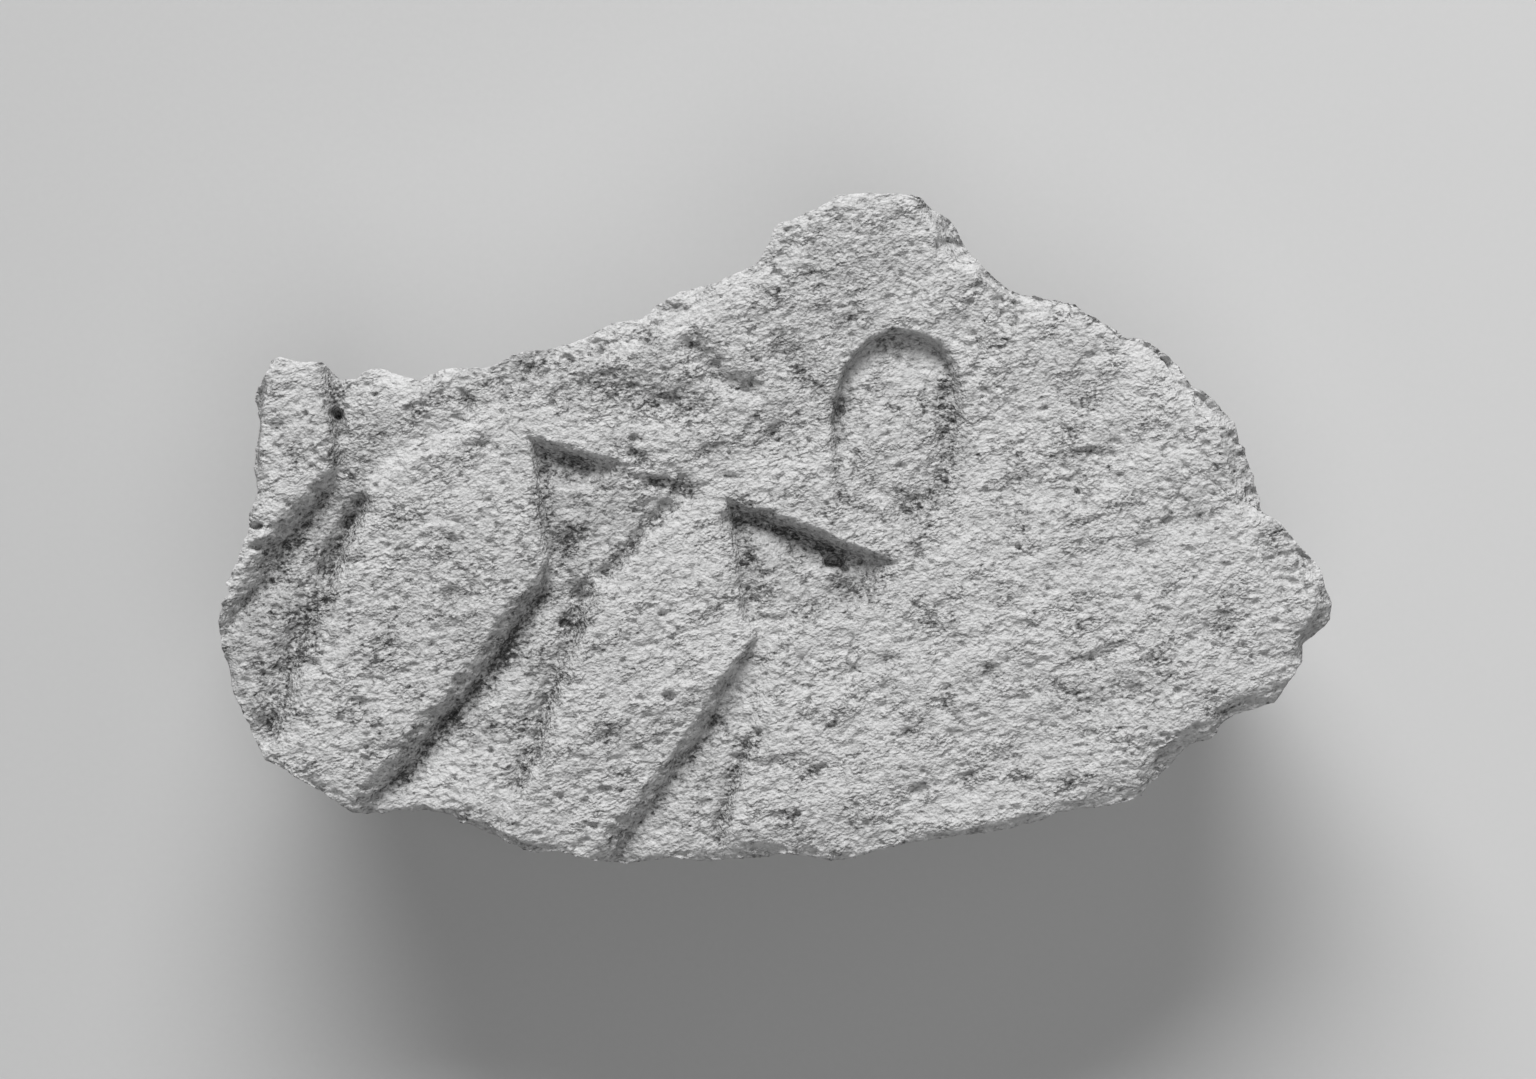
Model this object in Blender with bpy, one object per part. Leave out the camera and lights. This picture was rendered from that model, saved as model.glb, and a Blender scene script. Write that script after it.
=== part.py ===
"""A broken slab of pale stone, carved on its face in sunk relief.

Three flowers on leaning stems and an oval sign are cut into the dressed face.
The slab lies on its flat back: +X runs along its length, +Y towards the crest of
its upper edge and +Z out of the carved face. The origin is under the middle of
the slab, at the level it rests on.

The face is drawn on squared paper. A square is a share of the slab's length, so
the outline and the carving keep their proportions if the length changes, while
the thickness and the depths are sizes of their own.
"""

import math

import bmesh
import bpy
import numpy as np
from mathutils.geometry import delaunay_2d_cdt

# Driving sizes, in metres
LENGTH = 0.190
THICKNESS = 0.046
CUT_DEPTH = 0.0039
CHIP_DROP = 0.0060
WEAR = 0.0010

# Squared paper: the tips of the two broken ends are this many squares apart
SQUARES_LONG = 111.4
SQUARE = LENGTH / SQUARES_LONG

# The outline of the slab as seen from above, clockwise, in squares from its lower left
LEFT_CORNER = [(3.4, 46.7), (4.4, 48.5), (5.2, 50.3), (7.8, 50.2), (10.5, 50.1), (11.6, 48.4)]
UPPER_EDGE = [
    (13.7, 48.8), (15.2, 49.4), (18.0, 48.9), (20.0, 48.4), (22.8, 49.4), (27.8, 49.6), (29.0, 50.6),
    (32.0, 51.2), (35.5, 52.0), (38.0, 53.1), (42.0, 54.2), (43.5, 55.6), (46.0, 57.0), (50.0, 58.1),
    (52.2, 58.7), (54.2, 60.4),
]
CREST = [
    (55.1, 62.6), (56.0, 63.9), (59.0, 65.0), (61.8, 66.6), (64.5, 67.1), (66.5, 66.7), (68.3, 66.9),
    (70.5, 66.0), (72.8, 64.6), (73.8, 62.7), (75.5, 60.1), (78.0, 58.1), (80.2, 56.8),
]
UPPER_RIGHT = [
    (85.0, 55.7), (88.0, 54.0), (90.0, 52.4), (93.2, 51.2), (94.7, 49.9), (96.0, 47.6), (98.8, 45.4),
    (100.2, 45.4), (101.8, 43.0), (103.2, 39.4), (104.2, 35.2), (106.4, 33.8), (108.8, 30.9),
]
RIGHT_TIP = [
    (110.2, 28.6), (111.4, 26.2), (111.2, 24.2), (108.8, 22.0), (107.9, 20.0), (106.2, 17.0),
    (105.2, 15.9), (101.2, 14.9), (99.4, 13.2), (98.8, 12.0), (96.4, 11.4), (94.0, 8.7), (91.8, 6.5),
]
LOWER_EDGE = [
    (88.8, 5.6), (83.5, 5.0), (81.6, 4.0), (76.5, 2.9), (70.0, 2.0), (66.0, 1.0), (62.0, 0.1),
    (57.5, 0.6), (52.5, 0.4), (47.0, 0.3), (40.5, 0.0), (36.5, 0.3), (34.2, 1.2), (30.8, 1.1),
    (28.3, 2.3), (24.0, 4.3), (20.5, 5.2), (14.5, 4.7), (12.5, 5.4), (10.2, 7.4),
]
LEFT_END = [
    (6.5, 9.7), (4.6, 10.4), (3.1, 13.2), (1.4, 16.7), (0.2, 21.0), (0.0, 24.0), (0.2, 26.2),
    (0.9, 28.0), (2.0, 30.9), (2.9, 34.7), (3.6, 36.5), (3.2, 39.7), (3.7, 43.7),
]
OUTLINE = LEFT_CORNER + UPPER_EDGE + CREST + UPPER_RIGHT + RIGHT_TIP + LOWER_EDGE + LEFT_END

# Each carved form has a deep side, cut as a steep wall, and a soft side, where its floor comes up
# again. A point of a deep side is x, y, the wall's run in squares and its share of CUT_DEPTH.
RIGHT_FLOWER_DEEP = [
    (68.5, 30.5, 0.6, 0.2), (66.5, 31.2, 1.5, 0.7), (64.0, 32.0, 1.6, 0.9), (61.5, 33.0, 1.8, 1.0),
    (59.0, 34.0, 1.7, 1.0), (57.0, 34.8, 1.5, 0.9), (54.5, 35.6, 1.6, 0.9), (52.5, 36.1, 1.7, 0.9),
    (50.7, 36.5, 0.8, 0.9), (51.0, 33.7, 0.7, 0.5), (51.4, 31.2, 0.6, 0.4), (51.8, 28.2, 0.6, 0.4),
    (52.4, 24.7, 0.7, 0.4), (53.1, 22.6, 0.9, 0.5), (51.3, 20.8, 1.4, 0.7), (49.6, 18.7, 1.8, 0.8),
    (47.2, 14.5, 2.0, 0.8), (45.4, 12.2, 2.1, 0.8), (43.4, 9.7, 2.3, 0.8), (41.4, 7.2, 2.5, 0.8),
    (38.6, 3.8, 2.7, 0.8), (37.2, 0.8, 2.9, 0.8), (36.6, -2.0, 2.9, 0.8),
]
RIGHT_FLOWER_SOFT = [
    (51.0, -2.0), (51.5, 2.7), (52.2, 6.2), (53.2, 9.7), (54.2, 12.4), (55.2, 15.7), (55.8, 19.0),
    (56.5, 20.7), (58.0, 22.5), (60.0, 24.0), (62.5, 25.4), (65.0, 26.7), (67.0, 28.7),
]
MIDDLE_FLOWER_DEEP = [
    (48.2, 36.8, 0.8, 0.1), (44.4, 38.6, 1.0, 0.2), (41.3, 40.0, 1.0, 0.2), (40.0, 40.5, 1.1, 0.3),
    (38.8, 40.9, 1.3, 0.7), (37.0, 41.4, 1.7, 0.9), (34.5, 42.1, 1.8, 1.0), (32.6, 42.4, 1.8, 0.9),
    (30.9, 43.0, 0.8, 0.7), (31.4, 39.7, 0.7, 0.5), (31.9, 36.7, 0.7, 0.4), (32.2, 32.7, 0.7, 0.4),
    (32.6, 30.4, 0.9, 0.5), (30.7, 28.2, 2.1, 0.9), (28.4, 26.2, 2.7, 1.0), (26.7, 23.5, 2.8, 1.0),
    (24.7, 20.6, 2.7, 1.0), (22.4, 18.0, 2.8, 1.0), (19.9, 15.5, 2.9, 1.0), (17.9, 12.8, 2.9, 1.0),
    (15.8, 10.4, 2.8, 0.8), (13.6, 7.5, 2.4, 0.6), (11.8, 4.2, 2.2, 0.5),
]
MIDDLE_FLOWER_SOFT = [
    (28.0, 0.2), (29.5, 3.7), (30.8, 6.7), (32.1, 10.2), (33.3, 12.0), (34.3, 15.7), (35.5, 19.0),
    (36.8, 21.7), (37.8, 24.7), (38.3, 27.2), (39.5, 29.7), (41.5, 31.7), (43.5, 33.7), (46.0, 35.4),
]
LEFT_FLOWER_DEEP = [
    (9.8, 51.6, 1.0, 0.4), (10.2, 48.7, 1.1, 0.4), (10.7, 46.2, 1.1, 0.5), (11.1, 42.2, 1.1, 0.5),
    (10.8, 40.1, 1.4, 0.7), (9.5, 38.5, 2.2, 0.9), (7.5, 36.5, 2.5, 0.9), (5.5, 34.3, 2.5, 0.9),
    (3.7, 31.8, 2.5, 0.9), (1.7, 28.7, 2.4, 0.9), (0.0, 26.1, 2.1, 0.8), (-1.2, 23.6, 1.8, 0.6),
]
LEFT_FLOWER_SOFT = [
    (-1.0, 12.0), (4.0, 10.0), (6.0, 12.4), (7.2, 16.2), (8.3, 19.7), (9.5, 22.7), (10.2, 26.2),
    (11.8, 29.4), (13.5, 32.7), (14.8, 35.7), (17.0, 38.2), (20.5, 40.2), (24.0, 41.4), (26.4, 42.8),
    (26.0, 45.2), (23.5, 46.7), (19.5, 47.7), (14.0, 51.6),
]

# The oval sign leans a little to the right and is cut deepest at its upper left
OVAL_CENTRE = (68.1, 44.0)
OVAL_HALF_WIDTH = 6.8
OVAL_HALF_HEIGHT = 9.7
OVAL_LEAN = math.radians(6.0)
OVAL_SQUARENESS = 2.3
OVAL_POINTS = 36
OVAL_RUN = 1.4
OVAL_SHARE = 0.42
OVAL_SHARE_SWING = 0.28
OVAL_DEEPEST = math.radians(105.0)

# Floors: how deep they lie between their walls, and how far the walls' cuts reach into them
FLOOR_SHARE = 0.45
FLOOR_REACH = 3.2
SOFT_RUN = 1.5
SOFT_SHARE = 0.22
SOFT_REACH = 1.6

# Where flakes have come off the rim: the run of the drop in squares and the lip of the scar, as x, y
# and share of CHIP_DROP. Followed in this order, a lip has the slab's edge on its left hand.
RIM_CHIPS = [
    (1.0, [(106.8, 31.6, 0), (109.6, 27.8, 0.5), (109.3, 25.2, 1.0), (108.0, 22.6, 1.0), (107.0, 20.4, 0)]),
    (1.4, [(107.4, 19.0, 0), (105.2, 18.2, 0.6), (102.6, 17.4, 0.6), (100.0, 15.9, 0.5), (98.8, 15.0, 0)]),
    (2.6, [(99.6, 14.6, 0.0), (96.5, 13.4, 0.3), (94.0, 11.6, 0.3), (91.0, 8.6, 0.3), (88.0, 6.6, 0.0)]),
    (1.8, [(69.4, 65.6, 0.0), (71.4, 64.0, 0.7), (72.4, 62.0, 0.8), (73.6, 60.2, 0.6), (75.0, 58.6, 0.0)]),
    (0.8, [(75.6, 58.8, 0.0), (77.6, 57.8, 0.7), (79.6, 56.6, 0.6), (81.4, 55.8, 0.0)]),
    (2.8, [(98.6, 44.8, 0), (99.8, 43.2, 0.4), (100.8, 40.0, 0.5), (101.8, 36.0, 0.5), (102.8, 33.8, 0)]),
    (0.8, [(3.6, 36.6, 0.0), (4.2, 39.6, 0.5), (4.3, 43.6, 0.5), (4.6, 46.6, 0.5), (5.2, 48.4, 0.0)]),
    (1.0, [(83.0, 5.6, 0.0), (80.0, 4.8, 0.2), (76.0, 3.8, 0.2), (70.0, 2.8, 0.1), (66.0, 1.6, 0.0)]),
    (1.4, [(58.0, 1.2, 0.0), (54.5, 2.4, 0.2), (51.0, 2.2, 0.2), (47.0, 1.0, 0.0)]),
    (0.9, [(35.0, 1.8, 0.0), (31.0, 2.2, 0.2), (26.0, 4.2, 0.1), (20.5, 5.8, 0.1), (14.0, 5.4, 0.0)]),
    (3.6, [(27.4, 47.6, 0.0), (33.0, 48.4, 0.3), (40.0, 50.4, 0.3), (47.0, 53.6, 0.3), (52.0, 57.0, 0.0)]),
]

# Worn grooves in the face: half width in squares, share of CUT_DEPTH and the line they follow. The
# first three are above the flowers and the others are their second lines.
WORN_GROOVES = [
    (2.4, 0.20, [(28.5, 47.2), (38.0, 46.4), (48.0, 45.0)]),
    (1.2, 0.22, [(47.5, 51.9), (48.4, 50.5), (50.7, 48.3), (53.1, 47.4)]),
    (1.7, 0.20, [(56.4, 51.3), (57.9, 50.4), (58.8, 49.2)]),
    (1.0, 0.40, [(45.1, 35.4), (43.2, 33.9), (41.5, 32.2), (38.8, 28.9)]),
    (1.0, 0.45, [(14.0, 35.9), (13.2, 34.2), (11.7, 32.0), (10.6, 29.1)]),
    (1.6, 0.30, [(10.8, 30.4), (8.4, 24.3), (6.8, 20.0), (4.6, 13.6)]),
    (1.2, 0.26, [(36.3, 26.6), (34.4, 20.3), (32.6, 15.6), (31.7, 11.3), (29.8, 8.1)]),
    (0.9, 0.28, [(53.9, 12.9), (51.9, 9.4), (50.5, 4.9), (49.8, 2.4)]),
]

# The unevenness of the old face: wavelength in squares, the way the waves lie in degrees from +X,
# where they start as a share of a wave, and share of WEAR. The short ones rise to the right.
FACE_WAVES = [
    (64.0, 70.0, 0.10, 0.42), (43.0, 10.0, 0.55, 0.34), (29.0, 140.0, 0.25, 0.22), (19.0, 45.0, 0.70, 0.16),
    (12.5, 28.0, 0.35, 0.12), (9.7, 33.0, 0.80, 0.12), (7.9, 24.0, 0.15, 0.10), (6.7, 98.0, 0.45, 0.08),
]

# The sides: each level down them as a share of the thickness below the face
SIDE_LEVELS = [0.07, 0.20, 0.36, 0.52, 0.68, 0.82, 0.92, 1.0]
SIDE_TAPER = 0.07
SIDE_TAPER_BEND = 1.5
BASE_PULL = 0.045
BASE_PULL_FROM = 0.86
SMOOTHING_REACH = 7.0
SMOOTHED_BY = 0.5

# The roughness of the broken sides, in waves like the face's but with amounts in squares
SIDE_WAVES = [
    (23.0, 25.0, 0.20, 0.34), (14.0, -40.0, 0.65, 0.24), (9.0, 70.0, 0.40, 0.18), (6.1, 15.0, 0.05, 0.14),
]

# Facets broken off the sides: the way each faces in degrees from +X, how far it leans in under the
# slab in degrees, and the height that it starts from, as a share of the thickness
SIDE_FACETS = [
    (2, 24, 0.80), (-28, 34, 0.62), (-58, 20, 0.86), (-92, 16, 0.74), (-124, 30, 0.62), (-158, 20, 0.84),
    (176, 26, 0.52), (146, 18, 0.86), (118, 30, 0.66), (84, 24, 0.80), (52, 22, 0.84), (27, 32, 0.60),
    (-75, 52, 0.24), (-12, 56, 0.26), (64, 50, 0.24), (133, 54, 0.28), (-141, 55, 0.22), (-176, 50, 0.26),
]

# Spacing of the solid's corners, in squares
RIM_STEP = 2.2
FACE_STEP = 2.3
CUT_STEP = 1.8
BASE_STEP = 9.0
WALL_LINES = [0.0, 0.45, 1.0]
RIM_MARGIN = 0.9
CLEARANCE = 0.55

STONE_COLOUR = (0.50, 0.50, 0.50, 1.0)
STONE_ROUGHNESS = 0.92
SHARP_ANGLE = math.radians(38.0)


def clear_scene():
    for obj in list(bpy.data.objects):
        bpy.data.objects.remove(obj)


def oval_sides():
    """The oval's deep side, over its top, and its soft side, under its bottom, on a superellipse."""
    deep, soft = [], []
    for step in range(OVAL_POINTS):
        angle = 2.0 * math.pi * step / OVAL_POINTS - math.pi / 4.0
        across = math.copysign(abs(math.cos(angle)) ** (2.0 / OVAL_SQUARENESS), math.cos(angle))
        along = math.copysign(abs(math.sin(angle)) ** (2.0 / OVAL_SQUARENESS), math.sin(angle))
        across *= OVAL_HALF_WIDTH
        along *= OVAL_HALF_HEIGHT
        x = OVAL_CENTRE[0] + across * math.cos(OVAL_LEAN) + along * math.sin(OVAL_LEAN)
        y = OVAL_CENTRE[1] - across * math.sin(OVAL_LEAN) + along * math.cos(OVAL_LEAN)
        if angle <= math.pi * 1.15:
            share = OVAL_SHARE + OVAL_SHARE_SWING * math.cos(angle - OVAL_DEEPEST)
            deep.append((x, y, OVAL_RUN, share))
        else:
            soft.append((x, y))
    return deep, soft


def smooth(t):
    """Rises from 0 to 1 as t does, level at both ends."""
    t = np.clip(t, 0.0, 1.0)
    return t * t * (3.0 - 2.0 * t)


def hollow(t):
    """Rises from 0 to 1 as t does: steep at first, as below a crisp lip, and level at the end."""
    t = np.clip(t, 0.0, 1.0)
    return t * (2.0 - t)


def waves(along, across, table):
    """The sum of the table's sine waves at each point, with the amounts that the table gives them."""
    total = np.zeros(np.shape(along))
    for length, lie, start, amount in table:
        turn = math.radians(lie)
        travel = across * math.cos(turn) - along * math.sin(turn)
        total = total + amount * np.sin(2.0 * math.pi * (travel / length + start))
    return total


def nearest(points, line):
    """How far each point is from the line, on which side of it, and the line's extra values there."""
    line = np.asarray(line, float)
    start, step = line[:-1, :2], line[1:, :2] - line[:-1, :2]
    offset = points[:, None, :] - start[None]
    along = np.clip((offset * step).sum(2) / (step**2).sum(1), 0.0, 1.0)
    away = offset - along[..., None] * step
    distance = np.sqrt((away**2).sum(2))
    best = distance.argmin(1)
    row = np.arange(len(points))
    side = np.sign(step[best, 0] * away[row, best, 1] - step[best, 1] * away[row, best, 0])
    extra = line[:, 2:]
    there = along[row, best][:, None]
    return distance[row, best], side, extra[best] * (1.0 - there) + extra[best + 1] * there


def inside(points, ring):
    """Whether a line to the right from each point crosses the closed ring an odd number of times."""
    a = np.asarray(ring, float)[:, :2]
    b = np.roll(a, -1, axis=0)
    x, y = points[:, :1], points[:, 1:2]
    spans = (a[:, 1] > y) != (b[:, 1] > y)
    rise = np.where(b[:, 1] == a[:, 1], 1.0, b[:, 1] - a[:, 1])
    crossing = a[:, 0] + (y - a[:, 1]) * (b[:, 0] - a[:, 0]) / rise
    return (spans & (x < crossing)).sum(1) % 2 == 1


def sunk(points, deep_side, soft_side):
    """How deep a carved form is at each point, in metres.

    The wall falls from the lip over its run. Its cut reaches on into the floor and fades, the floor
    lies level in the middle, and a shallower groove follows the soft side.
    """
    ring = [p[:2] for p in deep_side] + list(soft_side)
    soft_line = [deep_side[-1][:2], *soft_side, deep_side[0][:2]]
    deep, _, values = nearest(points, deep_side)
    soft, _, _ = nearest(points, soft_line)
    run, share = values[:, 0], values[:, 1]
    wall = np.minimum(hollow(deep / run), smooth(soft / SOFT_RUN))
    fade = np.exp(-np.maximum(deep - run, 0.0) / FLOOR_REACH)
    groove = SOFT_SHARE * np.exp(-np.maximum(soft - SOFT_RUN, 0.0) / SOFT_REACH)
    floor = FLOOR_SHARE + (share - FLOOR_SHARE) * fade + groove * (1.0 - fade)
    return np.where(inside(points, ring), CUT_DEPTH * wall * floor, 0.0)


def carved_forms():
    return [
        (RIGHT_FLOWER_DEEP, RIGHT_FLOWER_SOFT),
        (MIDDLE_FLOWER_DEEP, MIDDLE_FLOWER_SOFT),
        (LEFT_FLOWER_DEEP, LEFT_FLOWER_SOFT),
        oval_sides(),
    ]


def face_height(points):
    """The height of the carved face at each point, in metres above the flat back."""
    depth = np.zeros(len(points))
    for deep_side, soft_side in carved_forms():
        depth = np.maximum(depth, sunk(points, deep_side, soft_side))
    for run, lip in RIM_CHIPS:
        distance, side, values = nearest(points, lip)
        beyond = np.where(side > 0.0, distance, 0.0)
        depth = depth + CHIP_DROP * values[:, 0] * hollow(beyond / run)
    for half_width, share, line in WORN_GROOVES:
        distance, _, _ = nearest(points, line)
        depth = depth + CUT_DEPTH * share * np.exp(-((distance / half_width) ** 2))
    depth = depth + WEAR * waves(points[:, 0], points[:, 1], FACE_WAVES)
    return THICKNESS - (depth - depth.min())


def stepped(line, step, closed):
    """The line with points added, so that none are further apart than step."""
    line = [tuple(p[:2]) for p in line]
    ends = line[1:] + line[:1] if closed else line[1:]
    out = []
    for a, b in zip(line, ends):
        pieces = max(1, math.ceil(math.dist(a, b) / step))
        for k in range(pieces):
            out.append((a[0] + (b[0] - a[0]) * k / pieces, a[1] + (b[1] - a[1]) * k / pieces))
    return out if closed else out + [line[-1]]


def wall_line(deep_side, share):
    """A line down a wall: the deep side moved towards its floor by that share of the wall's run."""
    line = np.asarray(deep_side, float)
    step = np.gradient(line[:, :2], axis=0)
    step /= np.linalg.norm(step, axis=1, keepdims=True)
    right = np.stack([step[:, 1], -step[:, 0]], axis=1)
    middle = line[:, :2].mean(0)
    toward = 1.0 if ((middle - line[:, :2]) * right).sum() > 0.0 else -1.0
    return line[:, :2] + toward * share * right * line[:, 2:3]


def closed_line(ring):
    """The ring's points with the first one again at the end."""
    return [*ring, ring[0]]


def hexagonal(ring, step):
    """Points on a grid of equal triangles that covers the ring."""
    low, high = np.min(ring, axis=0), np.max(ring, axis=0)
    rise = step * math.sqrt(3.0) / 2.0
    rows = range(int((high[1] - low[1]) / rise) + 1)
    columns = range(int((high[0] - low[0]) / step) + 1)
    grid = [(low[0] + (c + 0.5 * (r % 2)) * step, low[1] + r * rise) for r in rows for c in columns]
    return np.array(grid)


def triangulated(ring, lines, loose):
    """Triangles that fill the ring, keep to the lines and use the loose points. The ring's come first."""
    points = [tuple(p) for p in ring]
    edges = []
    for line in lines:
        first = len(points)
        points += [tuple(p) for p in line]
        edges += [(first + k, first + k + 1) for k in range(len(line) - 1)]
    points += [tuple(p) for p in loose]
    made = delaunay_2d_cdt(points, edges, [list(range(len(ring)))], 1, 1e-5)
    corners = np.array([tuple(v) for v in made[0]])
    faces = [list(f) for f in made[2]]
    origin_of = {source: k for k, sources in enumerate(made[3]) for source in sources}
    order = [origin_of[k] for k in range(len(ring))]
    order += sorted(set(range(len(corners))) - set(order))
    place = {old: new for new, old in enumerate(order)}
    return corners[order], [[place[k] for k in f] for f in faces]


def kept_inside(line, rim, margin):
    """The longest runs of a line's points that stay inside the rim by at least the margin."""
    line = np.asarray(line, float)
    distance, _, _ = nearest(line, closed_line(rim))
    keep = inside(line, rim) & (distance > margin)
    runs, current = [], []
    for point, good in zip(line, keep):
        if good:
            current.append(point)
        elif current:
            runs.append(current)
            current = []
    return [r for r in runs + [current] if len(r) > 1]


def carving_lines(rim):
    """The lines down the walls, along the grooves and the rim's scars, for the face's edges to follow."""
    lines = []
    for deep_side, soft_side in carved_forms():
        lines += [stepped(wall_line(deep_side, share), CUT_STEP, closed=False) for share in WALL_LINES]
        lines.append(stepped(soft_side, CUT_STEP, closed=False))
    lines += [stepped(lip, CUT_STEP, closed=False) for _, lip in RIM_CHIPS]
    lines += [stepped(line, CUT_STEP, closed=False) for *_, line in WORN_GROOVES]
    return [run for line in lines for run in kept_inside(line, rim, RIM_MARGIN)]


def smoothed(rim):
    """The rim with each point drawn to the mean of those near it along it, weighted by a bell curve."""
    rim = np.asarray(rim, float)
    steps = np.linalg.norm(np.roll(rim, -1, axis=0) - rim, axis=1)
    place = np.concatenate([[0.0], np.cumsum(steps)[:-1]])
    gap = np.abs(place[:, None] - place[None])
    gap = np.minimum(gap, steps.sum() - gap)
    weight = np.exp(-((gap / SMOOTHING_REACH) ** 2)) * (steps + np.roll(steps, 1))[None]
    return weight @ rim / weight.sum(1, keepdims=True)


def outward(ring):
    """The way out of a clockwise ring at each of its points."""
    along = np.roll(ring, -1, axis=0) - np.roll(ring, 1, axis=0)
    way = np.stack([-along[:, 1], along[:, 0]], axis=1)
    return way / np.linalg.norm(way, axis=1, keepdims=True)


def side_ring(rim, smooth_rim, centre, height, share):
    """The ring of corners at one level of the sides.

    It is drawn in and smoother than the rim, roughened inwards and cut back by the facets.
    """
    soft = SMOOTHED_BY * smooth(share / SMOOTHED_BY)
    pulled = BASE_PULL * smooth((share - BASE_PULL_FROM) / (1.0 - BASE_PULL_FROM))
    scale = 1.0 - SIDE_TAPER * share**SIDE_TAPER_BEND - pulled
    ring = centre + scale * ((1.0 - soft) * rim + soft * smooth_rim - centre)
    level = height / SQUARE
    deepest = sum(amount for *_, amount in SIDE_WAVES)
    rough = waves(rim[:, 0] + level, rim[:, 1] - level, SIDE_WAVES) - deepest
    ring = ring + smooth(share / SMOOTHED_BY) * rough[:, None] * outward(smooth_rim)
    for facing, lean, start in SIDE_FACETS:
        way = np.array([math.cos(math.radians(facing)), math.sin(math.radians(facing))])
        below = np.maximum(start * THICKNESS - height, 0.0) / SQUARE
        limit = ((rim - centre) @ way).max() - below * math.tan(math.radians(lean))
        excess = np.maximum((ring - centre) @ way - limit, 0.0)
        ring = ring - excess[:, None] * way
    return ring


def face_grid(rim, lines):
    """Loose points over the face, clear of its rim and of the lines."""
    loose = hexagonal(rim, FACE_STEP)
    near = np.min([nearest(loose, line)[0] for line in [closed_line(rim), *lines]], axis=0)
    return loose[inside(loose, rim) & (near > CLEARANCE * FACE_STEP)]


def base_grid(ring):
    """Loose points over the flat back, clear of its edge."""
    loose = hexagonal(ring, BASE_STEP)
    away, _, _ = nearest(loose, closed_line(ring))
    return loose[inside(loose, ring) & (away > CLEARANCE * BASE_STEP)]


def side_rings(rim, centre, rim_heights):
    """The rings of corners down the sides, each with its corners' heights."""
    smooth_rim = smoothed(rim)
    for share in SIDE_LEVELS:
        heights = rim_heights * (1.0 - share)
        yield side_ring(rim, smooth_rim, centre, heights, share), heights


def build_fragment():
    """The whole slab: its carved face, its broken sides in rings and its flat back."""
    rim = np.array(stepped(OUTLINE, RIM_STEP, closed=True))
    centre = (rim.min(0) + rim.max(0)) / 2.0
    count = len(rim)
    lines = carving_lines(rim)
    face, face_triangles = triangulated(rim, lines, face_grid(rim, lines))
    heights = face_height(face)

    mesh = bmesh.new()

    def add_corners(points, levels):
        places = (points - centre) * SQUARE
        return [mesh.verts.new((x, y, z)) for (x, y), z in zip(places, levels)]

    top = add_corners(face, heights)
    for triangle in face_triangles:
        mesh.faces.new([top[k] for k in triangle])
    above = top[:count]
    for ring, levels in side_rings(rim, centre, heights[:count]):
        below = add_corners(ring, levels)
        for k in range(count):
            after = (k + 1) % count
            mesh.faces.new((above[k], above[after], below[after], below[k]))
        above = below
    base, base_triangles = triangulated(ring, [], base_grid(ring))
    back = above + add_corners(base[count:], np.zeros(len(base) - count))
    for triangle in base_triangles:
        mesh.faces.new([back[k] for k in reversed(triangle)])
    bmesh.ops.triangulate(mesh, faces=mesh.faces[:])
    bmesh.ops.recalc_face_normals(mesh, faces=mesh.faces[:])
    return mesh


def stone_material():
    material = bpy.data.materials.new("pale_stone")
    material.use_nodes = True
    shader = material.node_tree.nodes["Principled BSDF"]
    shader.inputs["Base Color"].default_value = STONE_COLOUR
    shader.inputs["Roughness"].default_value = STONE_ROUGHNESS
    shader.inputs["Metallic"].default_value = 0.0
    return material


def main():
    clear_scene()
    solid = build_fragment()
    data = bpy.data.meshes.new("relief_fragment")
    solid.to_mesh(data)
    solid.free()
    data.shade_smooth()
    data.set_sharp_from_angle(angle=SHARP_ANGLE)
    data.materials.append(stone_material())
    fragment = bpy.data.objects.new("relief_fragment", data)
    bpy.context.scene.collection.objects.link(fragment)


main()
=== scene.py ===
"""Dresses the sunk relief fragment: a broken slab of pale, granular stone, lying with its carved face up.

The face is drawn on squared paper, as it is for the solid: a square is a share of the slab's length, x runs
along it and y towards the crest of its upper edge. Depths, grain and pits are real sizes, in metres.
"""

import itertools
import logging
import math
from collections.abc import Mapping, Sequence
from dataclasses import dataclass, field
from enum import Enum
from typing import Any, NamedTuple

import bpy
import numpy as np
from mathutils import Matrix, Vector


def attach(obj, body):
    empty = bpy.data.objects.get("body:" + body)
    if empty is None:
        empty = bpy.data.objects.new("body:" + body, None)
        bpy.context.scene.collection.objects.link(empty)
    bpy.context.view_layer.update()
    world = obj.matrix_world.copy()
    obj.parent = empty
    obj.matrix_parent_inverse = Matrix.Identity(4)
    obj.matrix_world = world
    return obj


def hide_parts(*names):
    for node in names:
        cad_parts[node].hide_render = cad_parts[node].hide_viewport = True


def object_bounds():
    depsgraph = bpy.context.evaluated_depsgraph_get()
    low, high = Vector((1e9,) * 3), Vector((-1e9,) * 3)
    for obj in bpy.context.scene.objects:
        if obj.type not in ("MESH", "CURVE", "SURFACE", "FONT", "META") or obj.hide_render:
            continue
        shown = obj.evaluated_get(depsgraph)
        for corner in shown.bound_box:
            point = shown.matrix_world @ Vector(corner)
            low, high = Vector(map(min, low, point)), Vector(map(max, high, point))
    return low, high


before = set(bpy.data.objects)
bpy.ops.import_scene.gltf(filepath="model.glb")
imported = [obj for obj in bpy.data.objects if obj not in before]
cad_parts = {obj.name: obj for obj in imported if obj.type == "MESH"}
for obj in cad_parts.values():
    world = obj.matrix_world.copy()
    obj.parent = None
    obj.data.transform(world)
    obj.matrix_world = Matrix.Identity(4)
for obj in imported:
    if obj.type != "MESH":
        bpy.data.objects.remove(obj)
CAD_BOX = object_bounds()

LOG = logging.getLogger("sunk_relief")
MM = 0.001

Array = np.ndarray
Point = tuple[float, float]


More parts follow.
